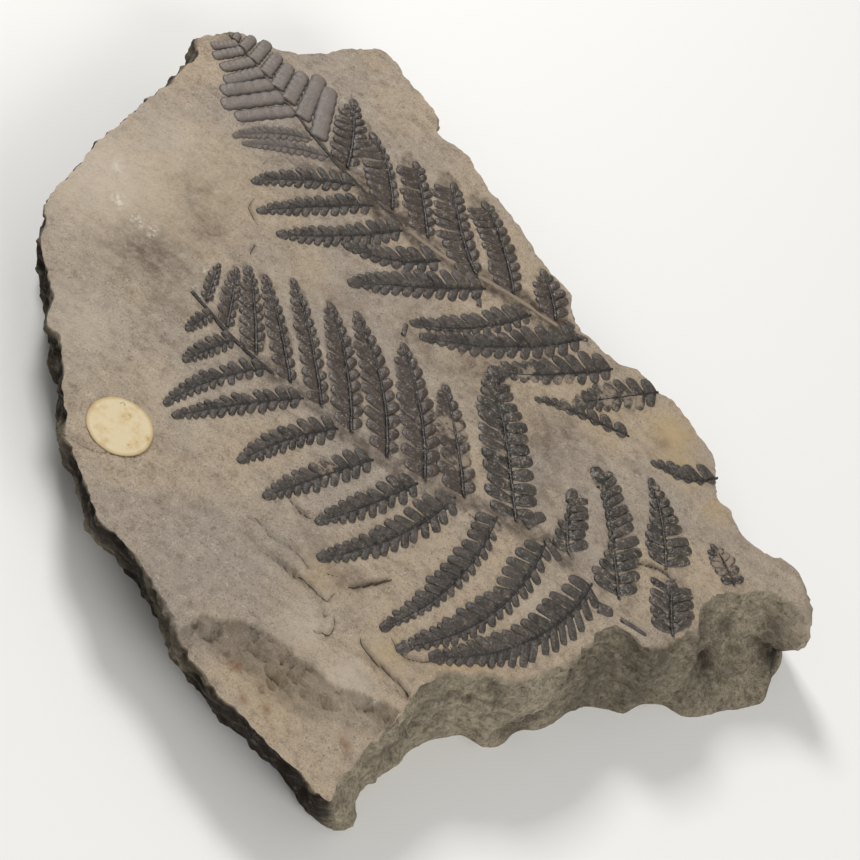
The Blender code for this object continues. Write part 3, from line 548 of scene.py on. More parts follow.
rows = np.linspace(0, 1, WALL_ROWS + 1)[1:] ** ROW_CROWDING
rim_z = top_height.reshape(net.shape[:2])
rim_z = np.concatenate([rim_z[0, :-1], rim_z[:-1, -1], rim_z[-1, :0:-1], rim_z[:0:-1, 0]])
share = rows[:, None]
bulged = share ** rim[None, :, 4]
bent_in = np.interp(rows, *UNDERCUT_PROFILE)[:, None]
profile = bulged + rim[None, :, 5] * (bent_in - bulged)
wall = np.zeros((WALL_ROWS, len(rim), 3))
wall[..., :2] = rim[None, :, :2] + profile[..., None] * (rim[:, 2:4] - rim[:, :2])
wall[..., 2] = rim_z * (1 - share)
swell = (WALL_LUMPS[0] * fractal(wall, *WALL_LUMPS[1:])
         + WALL_CRESTS[0] * ridged(wall, *WALL_CRESTS[1:]))
for height, cell, seed in WALL_BEDS:
    swell = swell + height * noise(wall, cell, seed)
swell *= smoothstep(0, 0.07, share) * (1 - 0.75 * smoothstep(0.86, 1, share))
for place, radius, depth in BITES:
    gap = np.linalg.norm(wall - np.array(place), axis=-1)
    swell -= depth * np.exp(-(gap / radius) ** 2) * smoothstep(0, 0.15, share)
wall[..., :2] += swell[..., None] * rim_out
print("walls", wall.shape)

# %% [markdown]
# ### The underside
#
# The underside lies on the table and is hardly seen.  One flat face would do, but a face with
# nine hundred corners shades badly.  Rings that shrink towards a point in the middle give sound
# quads, and all but the outermost are a little rough.

# %% Underside
UNDERSIDE_RINGS = (0.985, 0.95, 0.8, 0.55, 0.25)
UNDERSIDE_MIDDLE = np.array((-20.0, -20.0, 0.0))
UNDERSIDE_ROUGHNESS = 0.25
under = UNDERSIDE_MIDDLE + np.array(UNDERSIDE_RINGS)[:, None, None] * (wall[-1] - UNDERSIDE_MIDDLE)
rough = UNDERSIDE_ROUGHNESS * (1 + fractal(flat(under), 9.0, 2, 91)) / 2
under[1:, :, 2] = np.clip(rough[1:], 0, None)
print("underside", under.shape)


# %% [markdown]
# ## From arrays to pieces
#
# Every shape here is worked out as an array of points.  One helper numbers the corners of its
# quads.  Another makes the mesh, lets it ride on the one body and hides the part it stands
# for.  Numbers kept on the vertices tell the material what is special about a place.

# %% Mesh helpers
def grid_faces(first, rows_count, columns, wrap=False):
    """Quads between neighbouring rows and columns of numbered points, turned upwards."""
    numbers = first + np.arange(rows_count * columns).reshape(rows_count, columns)
    if wrap:
        numbers = np.concatenate([numbers, numbers[:, :1]], axis=1)
    a, b, c, d = numbers[:-1, :-1], numbers[:-1, 1:], numbers[1:, 1:], numbers[1:, :-1]
    return np.stack([a, b, c, d], axis=-1).reshape(-1, 4)


def new_piece(name, points, faces, node, material):
    """A smooth mesh piece of drawing points, riding on the one body, in place of a node."""
    mesh = bpy.data.meshes.new(name)
    mesh.from_pydata(to_world(points).tolist(), [], [list(map(int, face)) for face in faces])
    mesh.validate()
    mesh.shade_smooth()
    mesh.materials.append(material)
    piece = bpy.data.objects.new(name, mesh)
    bpy.context.scene.collection.objects.link(piece)
    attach(piece, "root")
    if node:
        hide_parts(node)
    return piece


def keep_numbers(piece, **numbers):
    """Store one number for each vertex under the given names, for the material to read."""
    for name, values in numbers.items():
        layer = piece.data.attributes.new(name, 'FLOAT', 'POINT')
        layer.data.foreach_set("value", np.asarray(values, np.float32).ravel())


# %% [markdown]
# ## Materials out of nodes
#
# A material could be wired by hand in the node editor.  Written down it can be read and
# repeated, so one helper adds a node with its settings and links, and the others name common
# moves: noise of a real size, a soft step, a mix of two colours.  Positions come in
# millimetres, so the scale of a pattern is a size that could be measured on the stone.

# %% Material helpers
def linear(hex_colour):
    """sRGB hex such as '8a7f70' to linear red, green, blue and alpha 1."""
    channels = np.array([int(hex_colour[i:i + 2], 16) for i in (0, 2, 4)]) / 255
    channels = np.where(channels <= 0.04045, channels / 12.92,
                        ((channels + 0.055) / 1.055) ** 2.4)
    return (*channels.tolist(), 1.0)


def add(material, kind, inputs=None, **settings):
    """One node: settings are its properties; inputs are numbers, or sockets to link from."""
    tree = material.node_tree
    node = tree.nodes.new(kind)
    for key, value in settings.items():
        setattr(node, key, value)
    for key, value in (inputs or {}).items():
        if isinstance(value, bpy.types.NodeSocket):
            tree.links.new(value, node.inputs[key])
        else:
            node.inputs[key].default_value = value
    return node


def blank_material(name):
    """A material with only its output, and the object's coordinates in millimetres."""
    material = bpy.data.materials.new(name)
    material.use_nodes = True
    material.node_tree.nodes.clear()
    where = add(material, "ShaderNodeTexCoord").outputs["Object"]
    in_mm = add(material, "ShaderNodeVectorMath", {0: where, 1: (1000, 1000, 1000)},
                operation='MULTIPLY').outputs[0]
    return material, in_mm


def speckle(material, where, size_mm, detail=3.0, stretch=(1, 1, 1), roughness=0.55):
    """Noise whose lumps are size_mm across, with a stretch along each axis."""
    scaled = add(material, "ShaderNodeVectorMath", {0: where, 1: stretch}, operation='MULTIPLY')
    return add(material, "ShaderNodeTexNoise",
               {"Vector": scaled.outputs[0], "Scale": 1.0 / size_mm, "Detail": detail,
                "Roughness": roughness}).outputs["Fac"]


def between(material, value, low, high, start=0.0, end=1.0):
    """The value's way from low to high, as a smooth step from start to end."""
    return add(material, "ShaderNodeMapRange",
               {"Value": value, "From Min": low, "From Max": high, "To Min": start, "To Max": end},
               interpolation_type='SMOOTHSTEP').outputs[0]


def mixed(material, share, first, second, blend='MIX'):
    """Colour between two, by a share; a colour is a hex string or a socket."""
    node = add(material, "ShaderNodeMix", {0: share}, data_type='RGBA', blend_type=blend)
    for index, colour in ((6, first), (7, second)):
        if isinstance(colour, str):
            node.inputs[index].default_value = linear(colour)
        else:
            material.node_tree.links.new(colour, node.inputs[index])
    return node.outputs[2]


def number(material, name):
    """A number kept on the vertices."""
    return add(material, "ShaderNodeAttribute", attribute_name=name).outputs["Fac"]


def maths(material, operation, a, b=0.0):
    """The result of one sum or product of two values."""
    return add(material, "ShaderNodeMath", {0: a, 1: b}, operation=operation).outputs[0]


def finish_surface(material, colour, roughness, bumps, specular=0.5):
    """Principled surface with a chain of bumps, each a height and a depth in mm."""
    normal = None
    for height, depth in bumps:
        inputs = {"Height": height, "Distance": depth * MM, "Strength": 1.0}
        if normal is not None:
            inputs["Normal"] = normal
        normal = add(material, "ShaderNodeBump", inputs).outputs[0]
    shader = add(material, "ShaderNodeBsdfPrincipled",
                 {"Base Color": colour, "Roughness": roughness, "Normal": normal,
                  "Specular IOR Level": specular})
    add(material, "ShaderNodeOutputMaterial", {"Surface": shader.outputs[0]})
    return material


# %% [markdown]
# ## Siltstone
#
# Siltstone is compressed mud: matt, with grains too fine to see.  What the eye gets is cloudy
# colour, from grey to warm tan, tiny dark and pale specks, and a soft tooth in raking light.  A
# fresh break shows darker and browner than the split face.  Grains are drawn at half a
# millimetre, coarser than they are, because finer ones would not show.

# %% Siltstone
def make_siltstone():
    """Matt stone: cloudy colour under specks, then the kept numbers, each laid over the last."""
    stone, where = blank_material("siltstone_split_and_broken")
    clouds = speckle(stone, where, 48.0, 3.0)
    streaks = speckle(stone, where, 7.0, 6.0, (0.4, 1.3, 1.0), 0.65)
    mottles = speckle(stone, where, 3.4, 6.0, roughness=0.68)
    pits = speckle(stone, where, 1.3, 4.0, roughness=0.6)
    grain = speckle(stone, where, 0.5, 3.0)
    colour = mixed(stone, between(stone, clouds, 0.35, 0.65), "a3978a", "b3a18a")
    colour = mixed(stone, between(stone, streaks, 0.45, 0.75, 0.0, 0.55), colour, "84776a")
    colour = mixed(stone, between(stone, mottles, 0.5, 0.68, 0.0, 0.5), colour, "75685a")
    colour = mixed(stone, between(stone, mottles, 0.48, 0.3, 0.0, 0.4), colour, "c6b8a4")
    colour = mixed(stone, between(stone, pits, 0.56, 0.7, 0.0, 0.45), colour, "695c4f")
    colour = mixed(stone, between(stone, grain, 0.56, 0.7, 0.0, 0.55), colour, "4e443b")
    colour = mixed(stone, between(stone, grain, 0.42, 0.28, 0.0, 0.5), colour, "dccfbc")
    # fresh break: olive brown with dark pits
    hackle = speckle(stone, where, 3.2, 6.0, (1, 1, 1.8), 0.7)
    broken = mixed(stone, between(stone, hackle, 0.3, 0.7), "6b6352", "a09580")
    broken = mixed(stone, between(stone, grain, 0.5, 0.7, 0.0, 0.5), broken, "b0a48e")
    broken = mixed(stone, between(stone, pits, 0.5, 0.66, 0.0, 0.5), broken, "3d362b")
    # dirt and painted shade over the break, darkest on the undercut left wall and in hollows
    break_dirt_and_shade = maths(stone, 'MULTIPLY', number(stone, "dirt_and_shade"),
                 between(stone, hackle, 0.7, 0.5, 0.7, 1))
    broken = mixed(stone, break_dirt_and_shade, broken, "1e150c")
    colour = mixed(stone, number(stone, "tan"), colour, "b9a17a")
    colour = mixed(stone, number(stone, "bleached"), colour, "cdbfae")
    dark_patch = maths(stone, 'MULTIPLY', number(stone, "slope"),
                       between(stone, streaks, 0.35, 0.6, 0.5, 1.0))
    colour = mixed(stone, dark_patch, colour, "6e6455")
    stain = maths(stone, 'MULTIPLY', number(stone, "stain"),
                  between(stone, mottles, 0.35, 0.6, 0.5, 1.0))
    colour = mixed(stone, stain, colour, "50443a")
    colour = mixed(stone, number(stone, "rust"), colour, "7a5430")
    chalk = maths(stone, 'MULTIPLY', number(stone, "chalk"), between(stone, pits, 0.45, 0.55))
    colour = mixed(stone, chalk, colour, "e4dccb")
    # painted shade in the furrows and on the shadow cords in them
    colour = mixed(stone, maths(stone, 'MULTIPLY', number(stone, "crack"), 0.85), colour, "2a221b")
    colour = mixed(stone, number(stone, "broken"), colour, broken)
    roughness = between(stone, mottles, 0.3, 0.7, 0.7, 0.9)
    bumps = ((mottles, 0.7), (pits, 0.45), (grain, 0.22), (hackle, 0.5))
    return finish_surface(stone, colour, roughness, bumps, 0.3)


siltstone = make_siltstone()
print("siltstone:", len(siltstone.node_tree.nodes), "nodes")


# %% [markdown]
# ## Where the leaves lie
#
# A fern of this kind has three orders of parts.  The frond's stem, the rachis, carries leaflets
# called pinnae, and each pinna carries lobes called pinnules on both sides of its midrib.  The
# tables give each pinna's root, tip and bow, and how far its pinnules reach.  Roots, tips and
# bows are those of the bare parts, so that dress and frame agree.

# %% Leaf tables
UPPER_RACHIS = ((12.5, 73.4), (4, 72.6), (-8, 71.0), (-24, 67.6), (-40, 66.3), (-54, 66.8),
                (-65, 68.2), (-76, 70.4), (-84, 73.1), (-92, 75.8))
UPPER_TIP_RACHIS = ((-91.5, 75.6), (-99, 78.4), (-105, 80.2), (-111, 82.0), (-118, 84.8),
                    (-125, 87.0), (-132.3, 89.0))
MIDDLE_RACHIS = ((97.5, -6.2), (88, -8.2), (77, -9.0), (66, -8.3), (56.5, -6.6), (46.5, -7.2),
                 (37.5, -8.6), (28, -11.2), (20, -13.6), (8, -17.6), (-5.6, -20.3),
                 (-18.6, -20.6), (-30, -19.4), (-42, -19.6), (-53.7, -19.7), (-63.5, -18.5),
                 (-72.6, -16.1), (-82, -13.6))
# root, tip and width of the entire leaflets at the frond's tip
TIP_BLADES = (
    ((-128.5, 87.8), (-133.6, 78.6), 4.2), ((-125.5, 86.6), (-130.8, 75.4), 4.6),
    ((-120.6, 85.4), (-126.2, 73.2), 5.2), ((-115.9, 84.2), (-122.2, 69.2), 5.4),
    ((-110.6, 82.4), (-120.8, 64.6), 6.2), ((-105.2, 80.6), (-117.4, 60.0), 6.6),
    ((-99.4, 78.4), (-111.4, 59.2), 5.8),
    ((-129.8, 88.4), (-130.6, 92.6), 3.4), ((-126.0, 87.4), (-126.2, 95.8), 4.8),
    ((-120.6, 86.0), (-121.6, 98.8), 5.4), ((-114.6, 84.2), (-116.2, 97.0), 5.8),
    ((-108.6, 82.2), (-111.2, 96.4), 6.2), ((-102.6, 80.4), (-105.9, 97.0), 6.6),
    ((-95.4, 77.8), (-101.2, 101.4), 6.8), ((-87.0, 75.0), (-96.2, 99.8), 7.4),
)
# node, style, root, tip, bow towards the frond's tip, pinnules on each side, and their reach
# on the side of the frond's tip and on the side of its base
PINNAE = (
    ("upper_left_pinna_01", "band", (-88.4, 72.6), (-106.9, 52.0), 2.0, 12, 3.4, 2.8),
    ("upper_left_pinna_02", "band", (-80.6, 70.6), (-103.2, 52.0), 1.1, 12, 3.4, 3.0),
    ("upper_left_pinna_03", "fin", (-68.0, 67.0), (-92.2, 40.4), 1.4, 11, 5.0, 4.0),
    ("upper_left_pinna_04", "fin", (-59.2, 64.3), (-84.5, 31.5), 0.5, 12, 4.6, 4.2),
    ("upper_left_pinna_05", "fin", (-46.6, 63.9), (-74.9, 28.4), -1.6, 13, 5.0, 5.0),
    ("upper_left_pinna_06", "fin", (-30.9, 63.6), (-56.8, 42.5), -3.2, 8, 6.6, 4.0),
    ("upper_left_pinna_07", "fin", (-14.0, 65.5), (-48.0, 30.6), -0.5, 12, 7.2, 5.2),
    ("upper_left_pinna_08", "fin", (3.1, 68.9), (-25.0, 32.6), -3.4, 12, 6.4, 3.0),
    ("upper_left_pinna_09", "fin", (21.0, 74.9), (-19.9, 31.0), -3.8, 13, 6.4, 5.0),
    ("upper_left_pinna_10", "fin", (34.9, 73.0), (5.3, 38.4), -1.6, 10, 7.0, 4.2),
    ("upper_left_pinna_11", "fin", (51.6, 77.8), (31.6, 49.8), 0.4, 8, 6.4, 5.6),
    ("upper_left_pinna_12", "fin", (51.6, 53.4), (20.6, 40.2), 0.6, 7, 4.4, 1.8),
    ("upper_left_pinna_13", "fin", (83.0, 62.4), (62.6, 49.7), -4.0, 5, 6.5, 1.5),
    ("upper_right_pinna_01", "scale", (-73.5, 72.6), (-87.2, 100.9), -0.9, 8, 6.4, 3.6),
    ("upper_right_pinna_02", "scale", (-53.5, 69.4), (-75.1, 92.9), -2.4, 8, 8.2, 1.7),
    ("upper_right_pinna_03", "scale", (-38.8, 69.3), (-57.7, 94.6), -0.5, 8, 6.8, 2.6),
    ("upper_right_pinna_04", "scale", (-18.6, 68.5), (-43.4, 98.0), 1.9, 9, 7.3, 3.3),
    ("upper_right_pinna_05", "scale", (-5.7, 72.7), (-31.9, 100.0), -2.0, 10, 7.3, 3.3),
    ("upper_right_pinna_06", "scale", (10.5, 75.2), (-2.2, 90.5), -0.9, 5, 5.7, 5.2),
    ("middle_left_pinna_01", "fin", (-73.0, -15.6), (-75.2, -27.0), 0.2, 5, 2.8, 2.6),
    ("middle_left_pinna_02", "fin", (-62.6, -18.6), (-69.6, -37.0), 0.3, 8, 4.2, 3.0),
    ("middle_left_pinna_03", "fin", (-50.2, -20.2), (-65.0, -55.0), 2.2, 12, 4.2, 3.2),
    ("middle_left_pinna_04", "fin", (-36.0, -21.0), (-60.8, -56.6), 0.9, 13, 4.2, 4.2),
    ("middle_left_pinna_05", "fin", (-22.2, -21.8), (-38.0, -55.0), 1.6, 11, 5.0, 4.6),
    ("middle_left_pinna_06", "fin", (-8.2, -23.2), (-25.8, -59.8), 0.4, 11, 5.2, 4.6),
    ("middle_left_pinna_07", "fin", (6.6, -19.6), (-9.6, -55.4), -0.8, 10, 5.2, 4.4),
    ("middle_left_pinna_08", "fin", (18.2, -15.4), (-2.8, -65.8), -3.4, 14, 6.0, 5.4),
    ("middle_left_pinna_09", "fin", (32.0, -11.4), (23.4, -72.2), -5.0, 17, 6.4, 3.0),
    ("middle_left_pinna_10", "fin", (48.6, -8.6), (30.6, -74.6), -7.4, 18, 7.0, 4.0),
    ("middle_left_pinna_11", "fin", (67.0, -9.6), (39.6, -69.8), -7.8, 17, 7.2, 7.4),
    ("middle_right_pinna_01", "bead", (-76.8, -13.0), (-81.6, 2.2), 0.2, 5, 2.4, 1.4),
    ("middle_right_pinna_02", "bead", (-67.0, -16.0), (-76.8, 5.4), -0.2, 7, 3.6, 1.7),
    ("middle_right_pinna_03", "bead", (-55.2, -17.6), (-74.4, 9.2), -0.6, 9, 4.8, 2.2),
    ("middle_right_pinna_04", "bead", (-42.0, -18.2), (-69.0, 10.6), -0.8, 10, 4.6, 2.0),
    ("middle_right_pinna_05", "bead", (-30.2, -18.2), (-61.8, 16.6), -1.3, 12, 4.8, 2.2),
    ("middle_right_pinna_06", "bead", (-18.4, -19.2), (-48.2, 17.6), -2.2, 11, 6.2, 3.2),
    ("middle_right_pinna_07", "bead", (-5.6, -18.2), (-40.2, 21.6), -3.4, 12, 6.4, 3.2),
    ("middle_right_pinna_08", "bead", (7.6, -16.4), (-22.4, 23.0), -2.2, 11, 7.2, 4.2),
    ("middle_right_pinna_09", "bead", (20.2, -12.4), (-4.2, 20.2), -0.6, 9, 6.8, 3.6),
    ("middle_right_pinna_10", "tongue", (37.0, -7.4), (4.2, 39.4), -0.8, 13, 8.6, 8.0),
    ("middle_right_pinna_11", "comb", (56.2, -4.8), (46.9, 17.2), 1.4, 6, 6.0, 7.1),
    ("middle_right_pinna_12", "comb", (76.2, -7.0), (49.3, 31.2), -0.9, 12, 10.0, 9.0),
    ("middle_right_pinna_13", "comb", (83.9, 15.1), (65.3, 42.5), -1.3, 9, 7.0, 9.0),
    ("middle_right_pinna_14", "comb", (96.3, -5.6), (87.7, 11.9), 0.7, 5, 6.8, 8.2),
    ("middle_right_pinna_15", "tongue", (105.0, 28.0), (93.0, 36.0), -0.6, 5, 4.6, 4.2),
)
# root, tip and width of the pinnules that have come off, and the node of those that have one
LOOSE_LOBES = (
    ("loose_pinnule_01", (40.0, -6.6), (43.6, 2.4), 4.4),
    ("loose_pinnule_02", (72.2, -15.2), (77.4, -13.2), 4.4),
    (None, (-11.6, 57.6), (-13.4, 61.0), 2.0), (None, (-24.6, 26.4), (-26.2, 31.2), 1.8),
    (None, (9.2, 46.2), (11.4, 49.0), 2.2), (None, (5.2, 43.0), (7.0, 45.4), 2.0),
    (None, (15.4, -18.4), (19.6, -16.0), 3.0), (None, (80.0, -13.4), (89.6, -12.0), 1.8),
    (None, (13.6, 76.8), (17.4, 78.0), 2.4), (None, (19.4, 75.4), (23.4, 76.6), 2.2),
    (None, (48.2, -6.2), (55.4, -9.6), 3.2),
)
# centre and radius of the places where the film has flaked off
WORN = (((-4, 56), 6.5), ((-18, -38), 5.5), ((4, 6), 7), ((14, -2), 5), ((40, 62), 6),
        ((48, 68), 5), ((30, 48), 5), ((26, 56), 6), ((12, 46), 6), ((-1, 32), 6), ((98, 32), 6),
        ((52, 26), 5), ((86, 12), 3.5), ((70, 38), 4.5), ((34, -16), 4), ((22, 12), 3.5))


# %% [markdown]
# ## Midribs
#
# A midrib could be a curve object, but the pinnules need its points and directions as numbers.
# A parabola through root and tip gives both, and leaflets bend much like one.  Along it the
# pinnules reach out less and less, in a way that differs a little from leaf to leaf.

# %% Midribs
def unit(vectors):
    """Vectors along the last axis, each made one long."""
    vectors = np.asarray(vectors, float)
    return vectors / np.linalg.norm(vectors, axis=-1, keepdims=True)


def left_of(vectors):
    """Plane vectors turned a quarter turn to the left."""
    vectors = np.asarray(vectors, float)
    return np.stack([-vectors[..., 1], vectors[..., 0]], axis=-1)


def midrib(root, tip, bow, s):
    """Points at shares s of a parabola from root to tip, bowed towards -X."""
    root, tip, s = np.array(root, float), np.array(tip, float), np.asarray(s, float)[..., None]
    side = left_of(unit(tip - root))
    side = side if side[0] < 0 else -side
    return root + (tip - root) * s + side * bow * 4 * s * (1 - s)


def midrib_direction(root, tip, bow, s):
    """Unit direction of the same parabola."""
    s = np.asarray(s, float)
    return unit(midrib(root, tip, bow, s + 0.01) - midrib(root, tip, bow, s - 0.01))


# how the reach falls towards the pinna's end: where it starts, how much, and its power, on the
# side of the frond's tip and on the side of its base
TAPERS = {
    "usual": ((0.48, 0.74, 1.7), (0.48, 0.74, 1.7)),
    "blunt": ((0.8, 0.25, 1.7), (0.5, 0.35, 1.7)),
    "one_sided": ((0.0, 2.2, 1.0), (0.5, 0.4, 1.5)),
    "half_one_sided": ((0.0, 1.5, 1.0), (0.5, 0.4, 1.5)),
    "early": ((0.1, 0.85, 0.9), (0.25, 0.85, 1.0)),
}
OWN_TAPER = {
    "upper_right_pinna_02": "blunt", "upper_right_pinna_03": "blunt",
    "upper_right_pinna_04": "blunt", "upper_right_pinna_05": "blunt",
    "middle_right_pinna_11": "half_one_sided", "middle_right_pinna_12": "one_sided",
    "middle_right_pinna_13": "early", "middle_right_pinna_14": "blunt",
}
LEAST_REACH = 0.08           # of the full reach: pinnules never get shorter than this


def reach_share(s, taper=TAPERS["usual"][0]):
    """Reach of the pinnules along a midrib: a short rise, full reach, then a taper."""
    start, amount, power = taper
    rise = 0.78 + 0.22 * np.clip(s / 0.15, 0, 1)
    fade = np.clip((s - start) / (1 - start), 0, 1)
    return rise * np.maximum(1 - amount * fade ** power, LEAST_REACH)


print(len(PINNAE), "pinnae with", 2 * sum(row[5] for row in PINNAE), "pinnules")


# %% [markdown]
# ## Colours of the fern face
#
# The film left a halo: near the right-hand pinnae the rock is soaked dark brown, and a pale tan
# rim runs round the lowest left-hand ones.  Such fields are worked out at every vertex from the
# distance to the midribs, or are drawn as soft spots.

# %% Rock numbers
# centre, radius and strength of the soft spots of each kind
SPOTS = {
    "tan": (((-110, 8), 16, 0.35), ((64, 66), 9, 0.9), ((70, 58), 9, 0.7), ((52, -70), 12, 0.8),
            ((30, -76), 7, 0.5), ((0, -70), 9, 0.4), ((-100, 30), 18, 0.3), ((40, 52), 9, 0.5),
            ((88, 50), 6, 0.6), ((-60, 20), 10, 0.25), ((10, -110), 12, 0.25)),
    "stain": (((-100, -12), 12, 0.7), ((-92, 12), 9, 0.55), ((-104, 22), 7, 0.4),
              ((-86, -20), 9, 0.4), ((34, 36.5), 4.5, 0.7), ((-84, 60), 9, 0.5),
              ((-70, 52), 6, 0.4),
              ((-60, 44), 5, 0.4), ((14, 60), 8, 0.5), ((-6, -62), 6, 0.35), ((6, -66), 5, 0.5),
              ((-96, 84), 7, 0.35), ((100, 2), 5, 0.3), ((-44, 20), 8, 0.3), ((0, 38), 14, 0.5),
              ((30, 30), 12, 0.5), ((-20, 30), 10, 0.4), ((36, 8), 9, 0.4)),
    "bleached": (((-126, 2), 24, 0.7), ((-120, 30), 18, 0.4), ((-100, -50), 14, 0.35),
                 ((-60, -50), 12, 0.25), ((24, -92), 8, 0.5), ((6, -86), 7, 0.4),
                 ((58, -30), 10, 0.3)),
    "rust": (((-5, -109.7), 1.4, 0.8), ((-2.8, -111), 1.2, 0.8), ((4.6, -117.4), 1.4, 0.7),
             ((11.1, -115.4), 1.5, 0.7), ((33.1, -108.3), 1.6, 0.6), ((62, 60), 3, 0.4)),
    "chalk": (((-118, -2), 2.0, 0.9), ((-109, -4), 1.5, 0.8), ((-104.5, -3), 1.8, 0.7),
              ((-83.5, -3), 1.4, 0.6), ((-83.5, -11), 1.2, 0.5), ((-79, -12.5), 0.8, 0.9),
              ((34.5, -94), 0.9, 0.9), ((26.5, -128), 0.9, 0.8), ((-125, 8), 2.0, 0.5)),
}
# how dark the ground is soaked under the leaves of each style
BED_STRENGTH = {"fin": 0.12, "bead": 0.6, "scale": 0.6, "tongue": 0.2, "comb": 0.2,
                "band": 0.2}
# path, half width and strength of the dark ground along the stems
STEM_STAINS = ((UPPER_RACHIS[:8], 6.0, 1.0), (UPPER_RACHIS[7:], 2.5, 0.5),
               (MIDDLE_RACHIS[4:15], 4.0, 0.75), (MIDDLE_RACHIS[14:], 2.0, 0.5),
               (UPPER_TIP_RACHIS, 3.0, 0.4))
END_FACE = (np.array((132.0, 42.0, 22.0)), 9.0)   # middle and radius of the pale broken end
END_FACE_BARE = 0.85         # share of the broken look that the end face lacks
# the undercut left wall faces this way and gets painted shade
LEFT_WALL_DIRECTION = np.array((-0.72, -0.69))
LEFT_WALL_ENDS = (45.0, 58.0)      # along X the left wall's painted shade fades out between these
DIRT_CLOUDS = 0.35          # strength of the random clouds of dirt on the walls
SHADE_OFF_CRESTS = 0.25      # how much painted shade a swell of SWELL_UNIT mm sheds
SWELL_UNIT = 1.5
# middle, radius and strength of the painted shade in the hollows of the near wall
RECESS_SHADE = (((86.0, -24.0), 15.0, 0.55), ((97.0, -12.0), 12.0, 0.6),
               ((108.0, 4.0), 12.0, 0.45))


def spots(points, kind):
    """The strongest of the soft spots of one kind at each plan point."""
    total = np.zeros(points.shape[:-1])
    bent = wavy(points, 5.0, 1.4, 101)
    for centre, radius, strength in SPOTS[kind]:
        gap = np.linalg.norm(bent - centre, axis=-1) / radius
        total = np.maximum(total, strength * np.exp(-gap ** 2))
    return total


def film_halo(points):
    """How much film soaked into the rock: strongest at a midrib, gone past the pinnules."""
    total = np.zeros(points.shape[:-1])
    bent = wavy(points, 4.0, 0.8, 111)
    steps = np.linspace(0, 1, 9)
    for node, style, root, tip, bow, _, tip_reach, base_reach in PINNAE:
        path = midrib(root, tip, bow, steps)
        gap, along = path_distance(bent, path)
        tapers = TAPERS[OWN_TAPER.get(node, "usual")]
        left = left_of(unit(np.subtract(tip, root)))
        tip_is_left = left[0] < 0
        rib_offset = bow * 4 * along * (1 - along) * (1 if tip_is_left else -1)
        on_tip_side = ((bent - np.array(root)) @ left > rib_offset) == tip_is_left
        reach = 0.5 + np.where(on_tip_side, tip_reach * reach_share(along, tapers[0]),
                               base_reach * reach_share(along, tapers[1]))
        total = np.maximum(total, BED_STRENGTH[style] * (1 - smoothstep(0.8, 1.08, gap / reach)))
    return total


def stem_stain(points):
    """Dark ground along the stems, ragged at its border."""
    total = np.zeros(points.shape[:-1])
    bent = wavy(points, 4.0, 1.6, 115)
    for path, half_width, strength in STEM_STAINS:
        gap = path_distance(bent, path)[0]
        total = np.maximum(total, strength * (1 - smoothstep(0.35, 1.3, gap / half_width)))
    return total


def all_ring_numbers(top, wall_like, under_like):
    """Numbers of the whole rock, in the order of its vertices."""
    return np.concatenate([top.ravel(), wall_like.ravel(), under_like.ravel()])


bent = wavy(top_plan, *LAYER_WOBBLE)
slope_number = slope_share(bent)
slope_number = (1 - np.abs(2 * slope_number - 1) ** 6) * (1 - 0.7 * slope_number)
# painted shade in the furrows, stronger where they are deep
crack_number = np.zeros(len(top_plan))
wobble = wavy(top_plan, *FURROW_WOBBLE)
for path, depth, width, _ in FURROWS:
    gap, along = path_distance(wobble, path)
    crack_number = np.maximum(crack_number, min(1.0, 1.2 * depth) * np.exp(-(gap / width) ** 2)
                              * np.sqrt(4 * along * (1 - along)))
off_wall = smoothstep(0, 0.05, share + 0.02 * noise(wall, 3.0, 121))
end_gap = np.linalg.norm(wall - END_FACE[0], axis=-1) / END_FACE[1]
off_wall = off_wall * (1 - END_FACE_BARE * np.exp(-end_gap ** 4))
facing = rim_out @ LEFT_WALL_DIRECTION
on_left_wall = 0.95 * smoothstep(0.0, 0.6, facing)[None]
on_left_wall = on_left_wall * (1 - smoothstep(*LEFT_WALL_ENDS, wall[..., 0]))
# dirt and painted shade on the walls: clouds of dirt, with painted shade on the undercut left wall,
# in hollows between swells and in the near wall's recesses
dirt_and_shade = np.clip(0.1 + on_left_wall + DIRT_CLOUDS * fractal(wall, 14.0, 3, 131)
                - SHADE_OFF_CRESTS * swell / SWELL_UNIT, 0, 1)
for centre, radius, strength in RECESS_SHADE:
    gap = np.linalg.norm(wall[..., :2] - centre, axis=-1) / radius
    dirt_and_shade = np.maximum(dirt_and_shade, strength * np.exp(-gap ** 2))
top_zero, wall_zero = np.zeros(len(top_plan)), np.zeros(wall.shape[:2])
under_zero = np.zeros(under.shape[0] * under.shape[1] + 1)
dark_ground = np.maximum.reduce([spots(top_plan, "stain"), film_halo(top_plan),
                                 stem_stain(top_plan)])
rock_numbers = {
    "broken": all_ring_numbers(top_zero, off_wall, under_zero + 1),
    "dirt_and_shade": all_ring_numbers(top_zero, dirt_and_shade, under_zero + 0.4),
    "slope": all_ring_numbers(slope_number, wall_zero, under_zero),
    "crack": all_ring_numbers(crack_number, wall_zero, under_zero),
    "stain": all_ring_numbers(dark_ground, wall_zero, under_zero),
}
for kind in ("tan", "bleached", "rust", "chalk"):
    rock_numbers[kind] = all_ring_numbers(spots(top_plan, kind), wall_zero, under_zero)
print("fields:", {name: round(float(values.mean()), 3) for name, values in rock_numbers.items()})


# %% [markdown]
# ## One closed rock
#
# Net, wall rows, underside rings and a last point in the middle are welded into one closed
# mesh.  They could be four pieces that only touch, but then light and shadow leak at the seams.
# The numbers for stain, tan rim, dark slope, rust, chalk and broken surface go on its vertices.

# %% The rock
def ring_strip(upper, lower):
    """Outward quads between two closed rings of point numbers."""
    return np.stack([upper, lower, np.roll(lower, -1), np.roll(upper, -1)], axis=-1)


